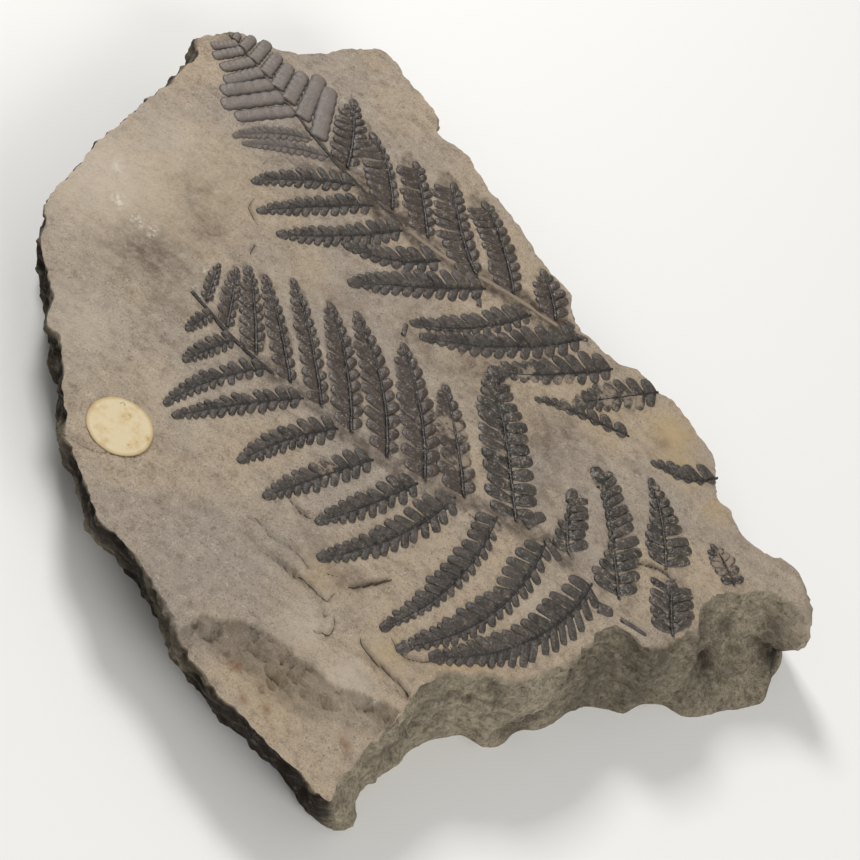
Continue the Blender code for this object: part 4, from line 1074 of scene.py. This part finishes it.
CREASE = math.radians(42)        # edges sharper than this stay crisp
net_numbers = np.arange(len(top_plan)).reshape(net.shape[:2])
rings = [np.concatenate([net_numbers[0, :-1], net_numbers[:-1, -1], net_numbers[-1, :0:-1],
                         net_numbers[:0:-1, 0]])]
first = len(top_plan)
for _ in range(len(wall) + len(under)):
    rings.append(np.arange(first, first + len(rim)))
    first += len(rim)
faces = [grid_faces(0, *net.shape[:2])]
faces += [ring_strip(upper, lower) for upper, lower in zip(rings, rings[1:])]
fan = np.stack([rings[-1], np.full(len(rim), first), np.roll(rings[-1], -1)], axis=-1)
rock_points = np.vstack([np.column_stack([top_plan, top_height]), wall.reshape(-1, 3),
                         under.reshape(-1, 3), UNDERSIDE_MIDDLE[None]])
rock = new_piece("siltstone_plate", rock_points, np.vstack(faces).tolist() + fan.tolist(),
                 "rock_slab", siltstone)
rock.data.set_sharp_from_angle(angle=CREASE)
keep_numbers(rock, **rock_numbers)
print("rock:", len(rock.data.vertices), "vertices,", len(rock.data.polygons), "faces")


# %% [markdown]
# ## The film of coal
#
# What is left of the leaf is a film of coal, dark grey-brown with a satin sheen.  Where it is
# thin or has flaked, the rock shows through.  Pinnules near the middle of the plate are redder,
# and the young tip of the frond is pale.  Wrinkles of a third of a millimetre break the sheen.

# %% Carbon film
def make_film():
    """Satin coal film: dark tones, rock where worn, glints by gloss, painted shade and highlights.
    """
    film, where = blank_material("carbonised_leaf_film")
    drift = speckle(film, where, 9.0, 3.0)
    patches = speckle(film, where, 2.2, 5.0, roughness=0.65)
    wrinkles = speckle(film, where, 0.6, 3.0)
    colour = mixed(film, number(film, "tone"), "231f1b", "49413a")
    colour = mixed(film, between(film, drift, 0.42, 0.6, 0.0, 0.7), colour, "37362f")
    colour = mixed(film, between(film, patches, 0.46, 0.68, 0.0, 0.6), colour, "6a5f57")
    colour = mixed(film, number(film, "warm"), colour, "493b33")
    colour = mixed(film, number(film, "pale"), colour, "7f746d")
    dust = maths(film, 'MULTIPLY', between(film, wrinkles, 0.52, 0.7), 0.4)
    colour = mixed(film, dust, colour, "8d8176")
    # painted shade at pinnule borders, feet and webs; the same number darkens midribs and stems
    colour = mixed(film, number(film, "edge"), colour, "1f1b18")
    # painted highlights: pale flecks on the wrinkles where the film is glossy
    painted_glints = maths(film, 'MULTIPLY', between(film, wrinkles, 0.56, 0.66),
                   between(film, patches, 0.48, 0.6))
    colour = mixed(film, maths(film, 'MULTIPLY', painted_glints, number(film, "gloss")), colour, "a39a86")
    worn = between(film, maths(film, 'ADD', number(film, "wear"), patches), 0.92, 1.12, 0.0, 0.85)
    colour = mixed(film, worn, colour, "958573")
    satin = between(film, patches, 0.35, 0.65, 0.5, 0.66)
    glossy = between(film, patches, 0.35, 0.65, 0.22, 0.44)
    gloss = number(film, "gloss")
    roughness = maths(film, 'ADD', maths(film, 'MULTIPLY', gloss, glossy),
                      maths(film, 'MULTIPLY', maths(film, 'SUBTRACT', 1.0, gloss), satin))
    roughness = maths(film, 'ADD', roughness, maths(film, 'MULTIPLY', worn, 0.3))
    bumps = ((patches, 0.45), (wrinkles, 0.2))
    return finish_surface(film, colour, roughness, bumps, 0.55)


carbon_film = make_film()
print("film:", len(carbon_film.node_tree.nodes), "nodes")

# %% [markdown]
# ## Pinnules
#
# A pinnule is a tongue: a little net of seven rows and nine columns over a plane shape with a
# rounded end, lifted to a low dome with a groove for its vein.  The border of the net is sunk
# into the rock and closed from below by one face.  Near the midrib pinnules are joined: there a
# low web lies under them.  All nets of a pinna are made in one sweep of arrays, and the pinna
# becomes one mesh with its midrib.

# %% Tongues
ROW_AT = np.array((0.0, 0.2, 0.42, 0.63, 0.8, 0.93, 1.0))
COLUMN_AT = np.array((-1.0, -0.9, -0.6, -0.18, 0.0, 0.18, 0.6, 0.9, 1.0))
SUNK = 0.3
VEIN_DEPTH = 0.09
VEIN_WIDTH = 0.16
FOOT_LIFT = 0.22             # height of a pinnule's foot, where it meets the midrib's valley


def net_faces(first, count, net_shape, turned):
    """Faces of count nets of one shape: the cells of each, and one face through its border."""
    size = net_shape[0] * net_shape[1]
    numbers = np.arange(size).reshape(net_shape)
    cells = grid_faces(0, *net_shape)
    border = np.concatenate([numbers[0, :-1], numbers[:-1, -1], numbers[-1, :0:-1],
                             numbers[:0:-1, 0]])[::-1]
    if turned:
        cells, border = cells[:, ::-1], border[::-1]
    faces = []
    for start in first + np.arange(count) * size:
        faces += (cells + start).tolist()
        faces.append((border + start).tolist())
    return faces


def laid(plan, height, border):
    """Plan points with their height over the ground; the border is sunk into the rock."""
    return np.concatenate([plan, (ground(plan) + np.where(border, -SUNK, height))[..., None]],
                          axis=-1)


def tongue_points(foot, axis, across, length, half_width, roundness, curl, lift, rows_at=ROW_AT,
                  ripples=0, foot_line=None, waist=1.0):
    """Nets of tongues, one for each row of foot.

    A point lies at foot + axis u length + across (v w(u) + curl u^2 length).  The half width w
    is near constant and closes as a quarter ellipse, roundness half widths long.  The height
    over the ground is the dome lift (1 - |v|^3) (1 - 0.6 u^6) minus the vein
    exp(-(v / 0.16)^2).  Ripples are lobes that never parted: waves of width and height.
    Where a foot line is given the net starts along it, and turns square further out.  A waist
    under 1 narrows the foot.
    """
    u, v = rows_at[None, :, None], COLUMN_AT[None, None, :]
    length, half_width = length[:, None, None], half_width[:, None, None]
    lift = np.asarray(lift, float)[..., None, None]
    round_from = np.clip(1 - roundness * half_width / length, 0.1, 0.9)
    closing = np.clip((u - round_from) / (1.012 - round_from), 0, 1)
    wave = np.abs(np.sin(math.pi * ripples * u)) ** 0.7 if ripples else 1.0
    width = (1.0 - 0.06 * u) * np.sqrt(1 - closing ** 2) * (0.82 + 0.18 * wave)
    width = width * (waist + (1 - waist) * smoothstep(0, 0.6, u))
    forward = u * length
    sideways = v * width * half_width
    lines = across[:, None, None]
    if foot_line is not None:
        turned = smoothstep(0, 0.75, u)[..., None]
        lines = foot_line[:, None, None] * (1 - turned) + lines * turned
    plan = (foot[:, None, None] + axis[:, None, None] * forward[..., None]
            + lines * sideways[..., None]
            + across[:, None, None] * (curl * u ** 2 * length)[..., None])
    rising = 1.0 if foot_line is None else FOOT_LIFT + (1 - FOOT_LIFT) * smoothstep(0, 0.4, u)
    dome = lift * (1 - np.abs(v) ** 3) * (1 - 0.6 * u ** 6) * rising * (0.7 + 0.3 * wave)
    dome = dome - VEIN_DEPTH * np.exp(-(v / VEIN_WIDTH) ** 2) * (1 - u ** 4)
    return laid(plan, dome, (np.abs(v) == 1) | (u == rows_at[-1]))


def cord_points(path, half_width, height):
    """A low rounded cord over a path: five points across, its feet sunk into the rock."""
    side = left_of(unit(np.gradient(path, axis=0)))
    across = np.array((-1.0, -0.72, 0.0, 0.72, 1.0))
    rise = np.array((-SUNK, 0.62, 1.0, 0.62, -SUNK))
    plan = path[:, None] + side[:, None] * (across[None, :] * half_width[:, None])[..., None]
    up = np.where(rise > 0, rise * np.maximum(height, -SUNK / 2)[:, None], rise)
    return np.concatenate([plan, (ground(plan) + up)[..., None]], axis=-1)


def cord_faces(first, count):
    """Faces of a cord: its skin, its underside and its two ends."""
    numbers = first + np.arange(count * 5).reshape(count, 5)
    skin = grid_faces(first, count, 5)[:, ::-1].tolist()
    below = np.stack([numbers[:-1, 0], numbers[1:, 0], numbers[1:, 4], numbers[:-1, 4]],
                     axis=-1)[:, ::-1].tolist()
    return skin + below + [numbers[0].tolist(), numbers[-1, ::-1].tolist()]


def shortened(foot, axis, length):
    """Lengths cut back in steps until the tongues end inside the rim."""
    outline = rim[::4, :2]
    best = np.full(len(length), 0.15)
    for keep in np.linspace(0.2, 1.0, 9):
        ends = foot + axis * (length * keep + RIM_MARGIN)[:, None]
        best = np.where(inside(ends, outline), keep, best)
    return length * best


# %% [markdown]
# ## Pinnae
#
# Along the midrib each pinnule gets its foot, its direction, its length and its width.  Close
# to the stem pinnules stand square to the midrib, and further out they lean towards its tip.
# Chance moves each a little.  The last one lies in line with the midrib and ends the leaf.
#
# Six styles cover the plate.  "fin" is a joined leaf with a thin dark midrib in a valley, and
# "band" is joined nearly to its edge.  "bead" has wide flat pinnules on one side of a raised
# midrib and short round ones on the other; "scale" is like it, with the wide ones square to the
# midrib.  "tongue" has long, well parted ones; "comb" is like it, and leans more on the side of
# the frond's base.

# %% Pinnae
# for the tip's side and the base's side: lean in degrees at the root and further out, fill of
# the spacing, gain on the length ("longer"), and lift; joined share of the reach at the root
# and at the tip; roundness and curl of the pinnules; half width, height and darkness of the
# midrib; warmth, paleness and gloss of the film; a waist under 1 narrows a pinnule's foot
STYLES = {
    "fin": dict(lean=((86, 57), (60, 53)), fill=(1.06, 0.92), longer=(1.0, 1.0),
                joined=(0.25, 0.6), roundness=1.0, curl=0.1, lift=(0.8, 0.75),
                rib=(0.42, 0.2, 1.0), warm=0.15, gloss=0.3),
    "bead": dict(lean=((70, 58), (60, 54)), fill=(1.08, 1.02), longer=(1.06, 1.3),
                 joined=(0.35, 0.6), roundness=0.95, curl=0.06, lift=(0.6, 1.0),
                 rib=(0.65, 0.6, 0.85), warm=0.6, gloss=0.8),
    "tongue": dict(lean=((82, 72), (84, 76)), fill=(1.08, 1.08), longer=(1.05, 1.0),
                   joined=(0.1, 0.4), roundness=1.15, curl=0.06, lift=(1.0, 1.0),
                   rib=(0.52, 0.6, 0.3), warm=0.08, waist=0.7, gloss=1.0),
    "band": dict(lean=((62, 60), (60, 58)), fill=(1.1, 1.1), longer=(1.0, 1.0),
                 joined=(0.72, 0.85), roundness=1.0, curl=0.05, lift=(0.55, 0.55),
                 rib=(0.36, 0.05, 0.8), warm=0.5, pale=0.4, gloss=0.1),
}
# "scale" is "bead" with its wide pinnules square to the midrib; "comb" is "tongue" leaning
# more on the side of the frond's base
STYLES["scale"] = dict(STYLES["bead"], lean=((76, 88), (58, 64)), fill=(0.98, 0.96),
                       joined=(0.2, 0.35), lift=(0.9, 1.0))
STYLES["comb"] = dict(STYLES["tongue"], lean=((74, 84), (64, 65)))
REACH_GAIN = 1.14
SPACING_CROWDING = 1.18      # over 1 brings pinnules closer together towards the tip
RIM_MARGIN = 0.7
LEAN_SETTLES_AT = 0.55       # share of the midrib where the lean has reached its later value
LEAN_SPREAD = 3.5            # degrees
END_WIDTH = 0.27             # half width of the last pinnule, in mean reaches
END_LENGTH = 2.7             # of the last pinnule, in its half widths
LIFT_SPREAD = 0.14
WEB_LIFT = (0.12, 0.3)       # height of the joined part at the root and at the tip
WEB_COLUMNS = np.array((-1.0, -0.9, -0.5, 0.0, 0.5, 0.9, 1.0))
LENGTH_SPREAD, WIDTH_SPREAD, TONE_SPREAD = 0.06, 0.03, 0.28
NET_SHAPE = (ROW_AT.size, COLUMN_AT.size)
NET_SIZE = ROW_AT.size * COLUMN_AT.size
WORN_STRENGTH = 0.36         # added to the wear in the middle of a worn place


def wear_at(points):
    """How far the film has flaked: noise, and the worn places of the table."""
    total = 0.2 + 0.14 * fractal(flat(points), 9.0, 2, 141)
    for centre, radius in WORN:
        gap = np.linalg.norm(points[..., :2] - centre, axis=-1) / radius
        total = total + WORN_STRENGTH * np.exp(-gap ** 2)
    return total


def web_lift(s):
    """Height of the joined part of a leaf, growing towards its tip."""
    return WEB_LIFT[0] + (WEB_LIFT[1] - WEB_LIFT[0]) * smoothstep(0.3, 1.0, s)


def web_points(root, tip, bow, lobes, reaches, joined, tapers):
    """The joined part of a leaf: a low sheet along the midrib, wider towards the tip's side."""
    s = np.linspace(0.0, 0.985, 2 * lobes)
    rib = midrib(root, tip, bow, s)
    side = left_of(midrib_direction(root, tip, bow, s))
    share = joined[0] + (joined[1] - joined[0]) * smoothstep(0.25, 0.9, s)
    reach = np.where(WEB_COLUMNS > 0, reaches[0], reaches[1])
    fall = np.where(WEB_COLUMNS > 0, reach_share(s, tapers[0])[:, None],
                    reach_share(s, tapers[1])[:, None])
    out = WEB_COLUMNS * reach * fall * (share * 0.92)[:, None]
    plan = rib[:, None] + side[:, None] * out[..., None]
    border = (np.abs(WEB_COLUMNS) == 1)[None] | (s[:, None] == s[0]) | (s[:, None] == s[-1])
    height = (1 - 0.4 * np.abs(WEB_COLUMNS)) * web_lift(s)[:, None]
    return laid(plan, height, border)


def side_of_pinnules(look, which, sign, s, spacing, along, foot, reach, taper, chance):
    """Nets of the pinnules on one side of a midrib; sign is 1 on its left and -1 on its right.

    Each leans by its angle, reaches as far as the taper lets it and fills its share of the
    spacing.  Chance moves angle, length, width and lift, in that order.
    """
    first_lean, later_lean = look["lean"][which]
    lean = first_lean + (later_lean - first_lean) * smoothstep(0, LEAN_SETTLES_AT, s)
    lean = np.radians(lean + chance.normal(0, LEAN_SPREAD, len(s)))
    axis = along * np.cos(lean)[:, None] + sign * left_of(along) * np.sin(lean)[:, None]
    lengths = (look["longer"][which] * reach * reach_share(s, taper)
               * chance.normal(1, LENGTH_SPREAD, len(s)))
    lengths = shortened(foot, axis, lengths)
    half = (spacing * np.sin(lean) / 2 * look["fill"][which]
            * chance.normal(1, WIDTH_SPREAD, len(s)))
    lift = look["lift"][which] * chance.normal(1, LIFT_SPREAD, len(s)) * (1 - 0.3 * s ** 2)
    return tongue_points(foot, axis, -sign * left_of(axis), lengths, half, look["roundness"],
                         look["curl"], lift, foot_line=along / np.sin(lean)[:, None],
                         waist=look.get("waist", 1.0))


def end_pinnule(look, root, tip, bow, reaches, own):
    """The last pinnule, in line with the midrib, as wide as the mean reach at the end asks."""
    end = midrib_direction(root, tip, bow, [0.99])
    end_share = np.mean([reach_share(1.0, taper) for taper in own]) / reach_share(1.0)
    half = np.array([0.3 + END_WIDTH * min(1, end_share) * (reaches[1] + reaches[-1]) / 2])
    length = END_LENGTH * half
    foot = np.array(tip, float)[None] - end * length[:, None] * 0.8
    return tongue_points(foot, end, left_of(end), length, half, 1.3, 0.0,
                         look["lift"][0] * 0.9, foot_line=left_of(end), waist=0.6)


def build_pinna(node, style, root, tip, bow, lobes, tip_reach, base_reach, number_of_pinna):
    """One leaf as one mesh: two sides of pinnules, the last one, the joined web, the midrib."""
    look = STYLES[style]
    chance = np.random.default_rng(500 + number_of_pinna)
    length = float(np.linalg.norm(np.subtract(tip, root)))
    steps = (np.arange(lobes) + 0.5) / (lobes + 0.9)
    s = 1 - (1 - steps) ** SPACING_CROWDING
    spacing = length * SPACING_CROWDING * (1 - steps) ** (SPACING_CROWDING - 1) / (lobes + 0.9)
    along = midrib_direction(root, tip, bow, s)
    foot = midrib(root, tip, bow, s)
    tip_side_sign = 1 if left_of(np.subtract(tip, root))[0] < 0 else -1
    own = TAPERS[OWN_TAPER.get(node, "usual")]
    tapers = {tip_side_sign: own[0], -tip_side_sign: own[1]}
    points, faces, reaches = [], [], {}
    for which, sign in enumerate((tip_side_sign, -tip_side_sign)):
        reaches[sign] = (tip_reach, base_reach)[which] * REACH_GAIN
        faces += net_faces(which * lobes * NET_SIZE, lobes, NET_SHAPE, sign == -1)
        points.append(side_of_pinnules(look, which, sign, s, spacing, along, foot,
                                       reaches[sign], tapers[sign], chance))
    faces += net_faces(2 * lobes * NET_SIZE, 1, NET_SHAPE, True)
    points.append(end_pinnule(look, root, tip, bow, reaches, own))
    leaf = np.concatenate(points)
    row, column = ROW_AT[None, :, None], COLUMN_AT[None, None, :]
    ones = np.ones(leaf.shape[:-1])
    shade = chance.normal(0, TONE_SPREAD, (len(leaf), 1, 1))
    tone = np.clip(0.4 + shade + 0.3 * row, 0, 1) * ones
    # painted shade at the feet of the pinnules and along their borders
    at_foot = 0.45 * (1 - smoothstep(0, 0.2, row))
    edge = np.clip((np.abs(column) > 0.9) * 0.4 + at_foot, 0, 1) * ones
    web = web_points(root, tip, bow, lobes, (reaches[1], reaches[-1]), look["joined"],
                     (tapers[1], tapers[-1]))
    faces += net_faces(leaf[..., 0].size, 1, web.shape[:2], True)
    half_width, height, dark_rib = look["rib"]
    rib_s = np.linspace(-0.01, 0.97, 3 * lobes + 6)
    taper = 1 - 0.5 * np.clip(rib_s, 0, 1)
    rib = cord_points(midrib(root, tip, bow, rib_s), half_width * taper,
                      web_lift(rib_s) + height * taper)
    faces += cord_faces(leaf[..., 0].size + web[..., 0].size, len(rib))
    everything = np.concatenate([leaf.reshape(-1, 3), web.reshape(-1, 3), rib.reshape(-1, 3)])
    on_web, on_rib = np.ones(web[..., 0].size), np.ones(rib[..., 0].size)
    piece = new_piece("film_" + node, everything, faces, node, carbon_film)
    # edge: painted shade on pinnules and web, and the midrib's darkness
    keep_numbers(piece, tone=np.concatenate([tone.ravel(), 0.35 * on_web, 0.6 * on_rib]),
                 edge=np.concatenate([edge.ravel(), 0.3 * on_web, dark_rib * on_rib]),
                 warm=np.full(len(everything), look["warm"]),
                 pale=np.full(len(everything), look.get("pale", 0.0)),
                 gloss=np.full(len(everything), look["gloss"]),
                 wear=wear_at(everything) * np.concatenate([ones.ravel(), on_web, 0.5 * on_rib]))
    return piece


pinna_pieces = [build_pinna(*row, i) for i, row in enumerate(PINNAE)]
print(len(pinna_pieces), "pinnae, faces:", sum(len(p.data.polygons) for p in pinna_pieces))

# %% [markdown]
# ## The frond's tip, the stems and loose pinnules
#
# Towards its tip a frond is simpler: its leaflets are entire blades.  They could be cut from
# flat outlines, but the tongue above already has the right dome and vein.  So they are longer
# tongues, with more rows for the ripples of lobes that never parted.  A stem is a low cord
# along a smooth curve, sunk where the rock still covers it.

# %% Tip, stems and loose pinnules
def smooth_path(points, count):
    """Stations at equal spacing on a Catmull-Rom curve through the given points."""
    points = np.array(points, float)
    padded = np.vstack([2 * points[0] - points[1], points, 2 * points[-1] - points[-2]])
    steps = np.linspace(1, len(points) - 1e-6, 24 * len(points))
    dense = spline(padded, steps)
    run = np.concatenate([[0], np.cumsum(np.linalg.norm(np.diff(dense, axis=0), axis=1))])
    wanted = np.linspace(0, run[-1], count)
    return np.stack([np.interp(wanted, run, dense[:, k]) for k in (0, 1)], axis=-1)


def film_piece(name, nets, cords, node, pale, warm=0.1, edge_at_border=0.5, buried=None,
               gloss=0.6):
    """One film mesh of tongues and cords, with the numbers its material reads."""
    points, faces, edge = [], [], []
    count = 0
    for net_points in nets:
        faces += net_faces(count, len(net_points), net_points.shape[1:3], True)
        points.append(net_points.reshape(-1, 3))
        count += len(points[-1])
        # painted shade along the borders of each tongue
        border = smoothstep(0.5, 0.95, np.abs(COLUMN_AT)) * np.ones(net_points.shape[:-1])
        edge.append(edge_at_border * border.ravel())
    for cord in cords:
        faces += cord_faces(count, len(cord))
        points.append(cord.reshape(-1, 3))
        count += len(points[-1])
        edge.append(np.full(len(points[-1]), 0.75))
    everything = np.concatenate(points)
    wear = wear_at(everything)
    if buried is not None:
        wear = wear + buried(everything[:, 0])
    piece = new_piece(name, everything, faces, node, carbon_film)
    keep_numbers(piece, tone=np.full(count, 0.5), edge=np.concatenate(edge),
                 warm=np.full(count, warm), pale=np.full(count, pale), wear=wear,
                 gloss=np.full(count, gloss))
    return piece


def single_tongues(rows_of_lobes, lift, roundness=1.0, rows_at=ROW_AT, ripples=0):
    """Nets of tongues from roots, tips and widths."""
    roots = np.array([row[0] for row in rows_of_lobes], float)
    tips = np.array([row[1] for row in rows_of_lobes], float)
    widths = np.array([row[2] for row in rows_of_lobes], float)
    axis = unit(tips - roots)
    return tongue_points(roots, axis, left_of(axis), np.linalg.norm(tips - roots, axis=1),
                         widths / 2, roundness, 0.0, lift, rows_at, ripples)


def stem_cord(path, start, end, height_at):
    """A cord over a smooth path whose half width runs from start to end."""
    count = int(np.linalg.norm(np.diff(path, axis=0), axis=1).sum() / 1.2)
    stations = smooth_path(path, count)
    half = np.linspace(start, end, count) * (1 + 0.15 * noise(flat(stations), 3.0, 151))
    return cord_points(stations, half, height_at(stations[:, 0]))


BLADE_RIPPLES = 6
BLADE_ROWS = np.concatenate([np.linspace(0, 0.93, 4 * BLADE_RIPPLES), (0.975, 1.0)])
MIDDLE_STEM_BURIED = -50.0   # towards +X from here only a trace of the middle stem shows

blades = single_tongues(TIP_BLADES, 1.1, 0.95, BLADE_ROWS, BLADE_RIPPLES)
film_piece("film_upper_frond_tip", [blades],
           [stem_cord(UPPER_TIP_RACHIS, 0.55, 0.35, lambda x: 0.55 + 0 * x)],
           "upper_frond_tip", 0.85, 0.25, 0.75, gloss=0.35)
film_piece("film_upper_frond_rachis", [],
           [stem_cord(UPPER_RACHIS, 0.95, 0.7, lambda x: 0.6 - 0.5 * smoothstep(-84, -64, x))],
           "upper_frond_rachis", 0.1, 0.4, buried=lambda x: 0.5 * smoothstep(-60, -40, x))
film_piece("film_middle_frond_rachis", [],
           [stem_cord(MIDDLE_RACHIS, 0.95, 0.75,
                      lambda x: 0.5 - 0.85 * smoothstep(MIDDLE_STEM_BURIED,
                                                        MIDDLE_STEM_BURIED + 8, x))],
           "middle_frond_rachis", 0.0, 0.1,
           buried=lambda x: smoothstep(MIDDLE_STEM_BURIED, MIDDLE_STEM_BURIED + 10, x))
for i, (node, root, tip, width) in enumerate(LOOSE_LOBES, 1):
    film_piece(f"film_loose_pinnule_{i:02d}", [single_tongues([(root, tip, width)], 0.5)], [], node,
               0.15)
print("tip, stems and", len(LOOSE_LOBES), "loose pinnules")

# %% [markdown]
# ## Open cracks
#
# A crack a few tenths of a millimetre wide is finer than the net of the rock.  A finer net would
# cost a million faces.  So in the bottom of each furrow lies a dark cord with pointed ends
# instead: painted shadow, standing for the shade in the open crack.

# %% Open cracks
SHADOW_CORD_STEP = 0.5              # mm
SHADOW_CORD_RISE = 0.3              # of a furrow's depth: the cord shows above the coarse grid
shadow_cord_points, shadow_cord_faces, shadow_cord_count = [], [], 0
for path, depth, _, half_width in FURROWS:
    steps = int(np.linalg.norm(np.diff(path, axis=0), axis=1).sum() / SHADOW_CORD_STEP) + 4
    stations = smooth_path(path, steps)
    stations = 2 * stations - wavy(stations, *FURROW_WOBBLE)
    along = np.linspace(0, 1, steps)
    swollen = 1 + 0.5 * noise(flat(stations), 2.0, 181)
    half = half_width * swollen * np.sqrt(4 * along * (1 - along)) + 0.02
    shadow_cord_faces += cord_faces(shadow_cord_count, steps)
    shadow_cord_points.append(cord_points(stations, half, 0.05 + SHADOW_CORD_RISE * depth * np.ones(steps)))
    shadow_cord_count += 5 * steps
crack_shadows = new_piece("open_crack_seams", np.concatenate([p.reshape(-1, 3) for p in shadow_cord_points]),
                  shadow_cord_faces, None, siltstone)
keep_numbers(crack_shadows, crack=np.ones(shadow_cord_count))
print(len(FURROWS), "cracks,", len(shadow_cord_faces), "faces")

# %% [markdown]
# ## Paper label
#
# A disc of paper glued on near the edge.  A disc is a polar net: rings and spokes, the middle
# one point.  The glue has let go here and there, so the rim is lifted a little, and the paper
# follows the rock otherwise.  Age gives the cream its brown rim and foxing.

# %% Label
LABEL_THICKNESS = 0.16
LABEL_RAGGED = 0.004         # share by which scissors missed the circle
LABEL_OFF_ROCK = (0.1, 0.2)  # mm off the rock, everywhere and more at the rim
LABEL_RINGS = np.array((0.25, 0.5, 0.72, 0.88, 0.96, 1.0))
LABEL_SPOKES = 96


def make_paper():
    """Matt cream paper: brown foxing spots, fibres that barely show, and a browned edge."""
    paper, where = blank_material("aged_label_paper")
    fibres = speckle(paper, where, 0.4, 3.0)
    foxing = speckle(paper, where, 3.4, 4.0)
    colour = mixed(paper, between(paper, foxing, 0.45, 0.7, 0.0, 0.7), "dbcaa7", "c9ae7e")
    colour = mixed(paper, between(paper, foxing, 0.64, 0.72, 0.0, 0.8), colour, "b58c52")
    colour = mixed(paper, between(paper, fibres, 0.55, 0.75, 0.0, 0.25), colour, "c9b183")
    colour = mixed(paper, number(paper, "edge"), colour, "a98a5a")
    return finish_surface(paper, colour, 0.85, ((fibres, 0.06),), 0.2)


turn = np.linspace(0, 2 * math.pi, LABEL_SPOKES, endpoint=False)
circle = np.stack([np.cos(turn), np.sin(turn)], axis=-1)
ragged = 1 + LABEL_RAGGED * noise(flat(circle * LABEL_RADIUS), 2.5, 161)
plan = LABEL_AT + LABEL_RADIUS * LABEL_RINGS[:, None, None] * ragged[None, :, None] * circle
lying = ground(LABEL_AT + 0.0 * plan) * 0.5 + ground(plan) * 0.5      # paper bridges hollows
let_go = smoothstep(-0.2, 1.0, noise(flat(circle) * 3, 1.4, 171))
lift = LABEL_OFF_ROCK[0] + LABEL_OFF_ROCK[1] * (LABEL_RINGS[:, None] ** 4) * let_go
over = np.concatenate([plan, (lying + LABEL_THICKNESS + lift)[..., None]], axis=-1)
below = over - (0, 0, LABEL_THICKNESS)
middle = np.append(LABEL_AT, ground(LABEL_AT[None])[0] + LABEL_THICKNESS + 0.12)
label_points = np.vstack([middle[None], over.reshape(-1, 3), below[::-1].reshape(-1, 3),
                          middle[None] - (0, 0, LABEL_THICKNESS)])
loops = 1 + np.arange(2 * len(LABEL_RINGS) * LABEL_SPOKES).reshape(-1, LABEL_SPOKES)
label_faces = np.vstack([ring_strip(a, b) for a, b in zip(loops, loops[1:])]).tolist()
last = len(label_points) - 1
label_faces += np.stack([np.zeros(LABEL_SPOKES, int), loops[0], np.roll(loops[0], -1)],
                        axis=-1).tolist()
label_faces += np.stack([loops[-1], np.full(LABEL_SPOKES, last), np.roll(loops[-1], -1)],
                        axis=-1).tolist()
label = new_piece("round_label", label_points, label_faces, "paper_label",
                  make_paper())
both_sides = np.concatenate([LABEL_RINGS, LABEL_RINGS[::-1]])
rim_number = np.repeat(smoothstep(0.9, 1.0, both_sides), LABEL_SPOKES)
keep_numbers(label, edge=0.7 * np.concatenate([[0], rim_number, [0]]))
print("label:", len(label.data.polygons), "faces")

# %% [markdown]
# ## Floor and light
#
# One large soft light from the far side, a little left, rakes over the fern face, so that every
# lobe keeps a lit and a shaded side.  A weak one fills from the near right, and the pale
# surroundings do the rest.

# %% Floor and light
KEY_DIRECTION = Vector((-0.62, 0.42, 0.62)).normalized()
KEY_SIZE, KEY_DISTANCE, KEY_POWER = 0.28, 1.3, 11.3
FILL_DIRECTION = Vector((0.75, -0.55, 0.5)).normalized()
FILL_SIZE, FILL_DISTANCE, FILL_POWER = 0.9, 1.5, 13.0
WORLD_STRENGTH = 0.36
FLOOR_SIZE = 6.0


def area_light(name, direction, size, distance, power):
    """A square area light that shines on the plate from one direction."""
    light = bpy.data.objects.new(name, bpy.data.lights.new(name, 'AREA'))
    light.data.size = size
    light.data.energy = power
    light.location = direction * distance
    light.rotation_euler = direction.to_track_quat('Z', 'Y').to_euler()
    bpy.context.scene.collection.objects.link(light)


area_light("key", KEY_DIRECTION, KEY_SIZE, KEY_DISTANCE, KEY_POWER)
area_light("fill", FILL_DIRECTION, FILL_SIZE, FILL_DISTANCE, FILL_POWER)

pale_floor, _ = blank_material("pale_floor")
floor_shader = add(pale_floor, "ShaderNodeBsdfPrincipled",
                   {"Base Color": linear("f4f3f0"), "Roughness": 0.9, "Specular IOR Level": 0.1})
add(pale_floor, "ShaderNodeOutputMaterial", {"Surface": floor_shader.outputs[0]})
floor_mesh = bpy.data.meshes.new("floor")
h = FLOOR_SIZE / 2
floor_mesh.from_pydata([(-h, -h, 0), (h, -h, 0), (h, h, 0), (-h, h, 0)], [], [(0, 1, 2, 3)])
floor_mesh.materials.append(pale_floor)
floor = bpy.data.objects.new("floor", floor_mesh)
bpy.context.scene.collection.objects.link(floor)

world = bpy.data.worlds.new("pale_room")
world.use_nodes = True
world.node_tree.nodes["Background"].inputs["Color"].default_value = linear("f7f5f2")
world.node_tree.nodes["Background"].inputs["Strength"].default_value = WORLD_STRENGTH
bpy.context.scene.world = world
bpy.context.scene.view_settings.view_transform = 'Standard'
print("lit")
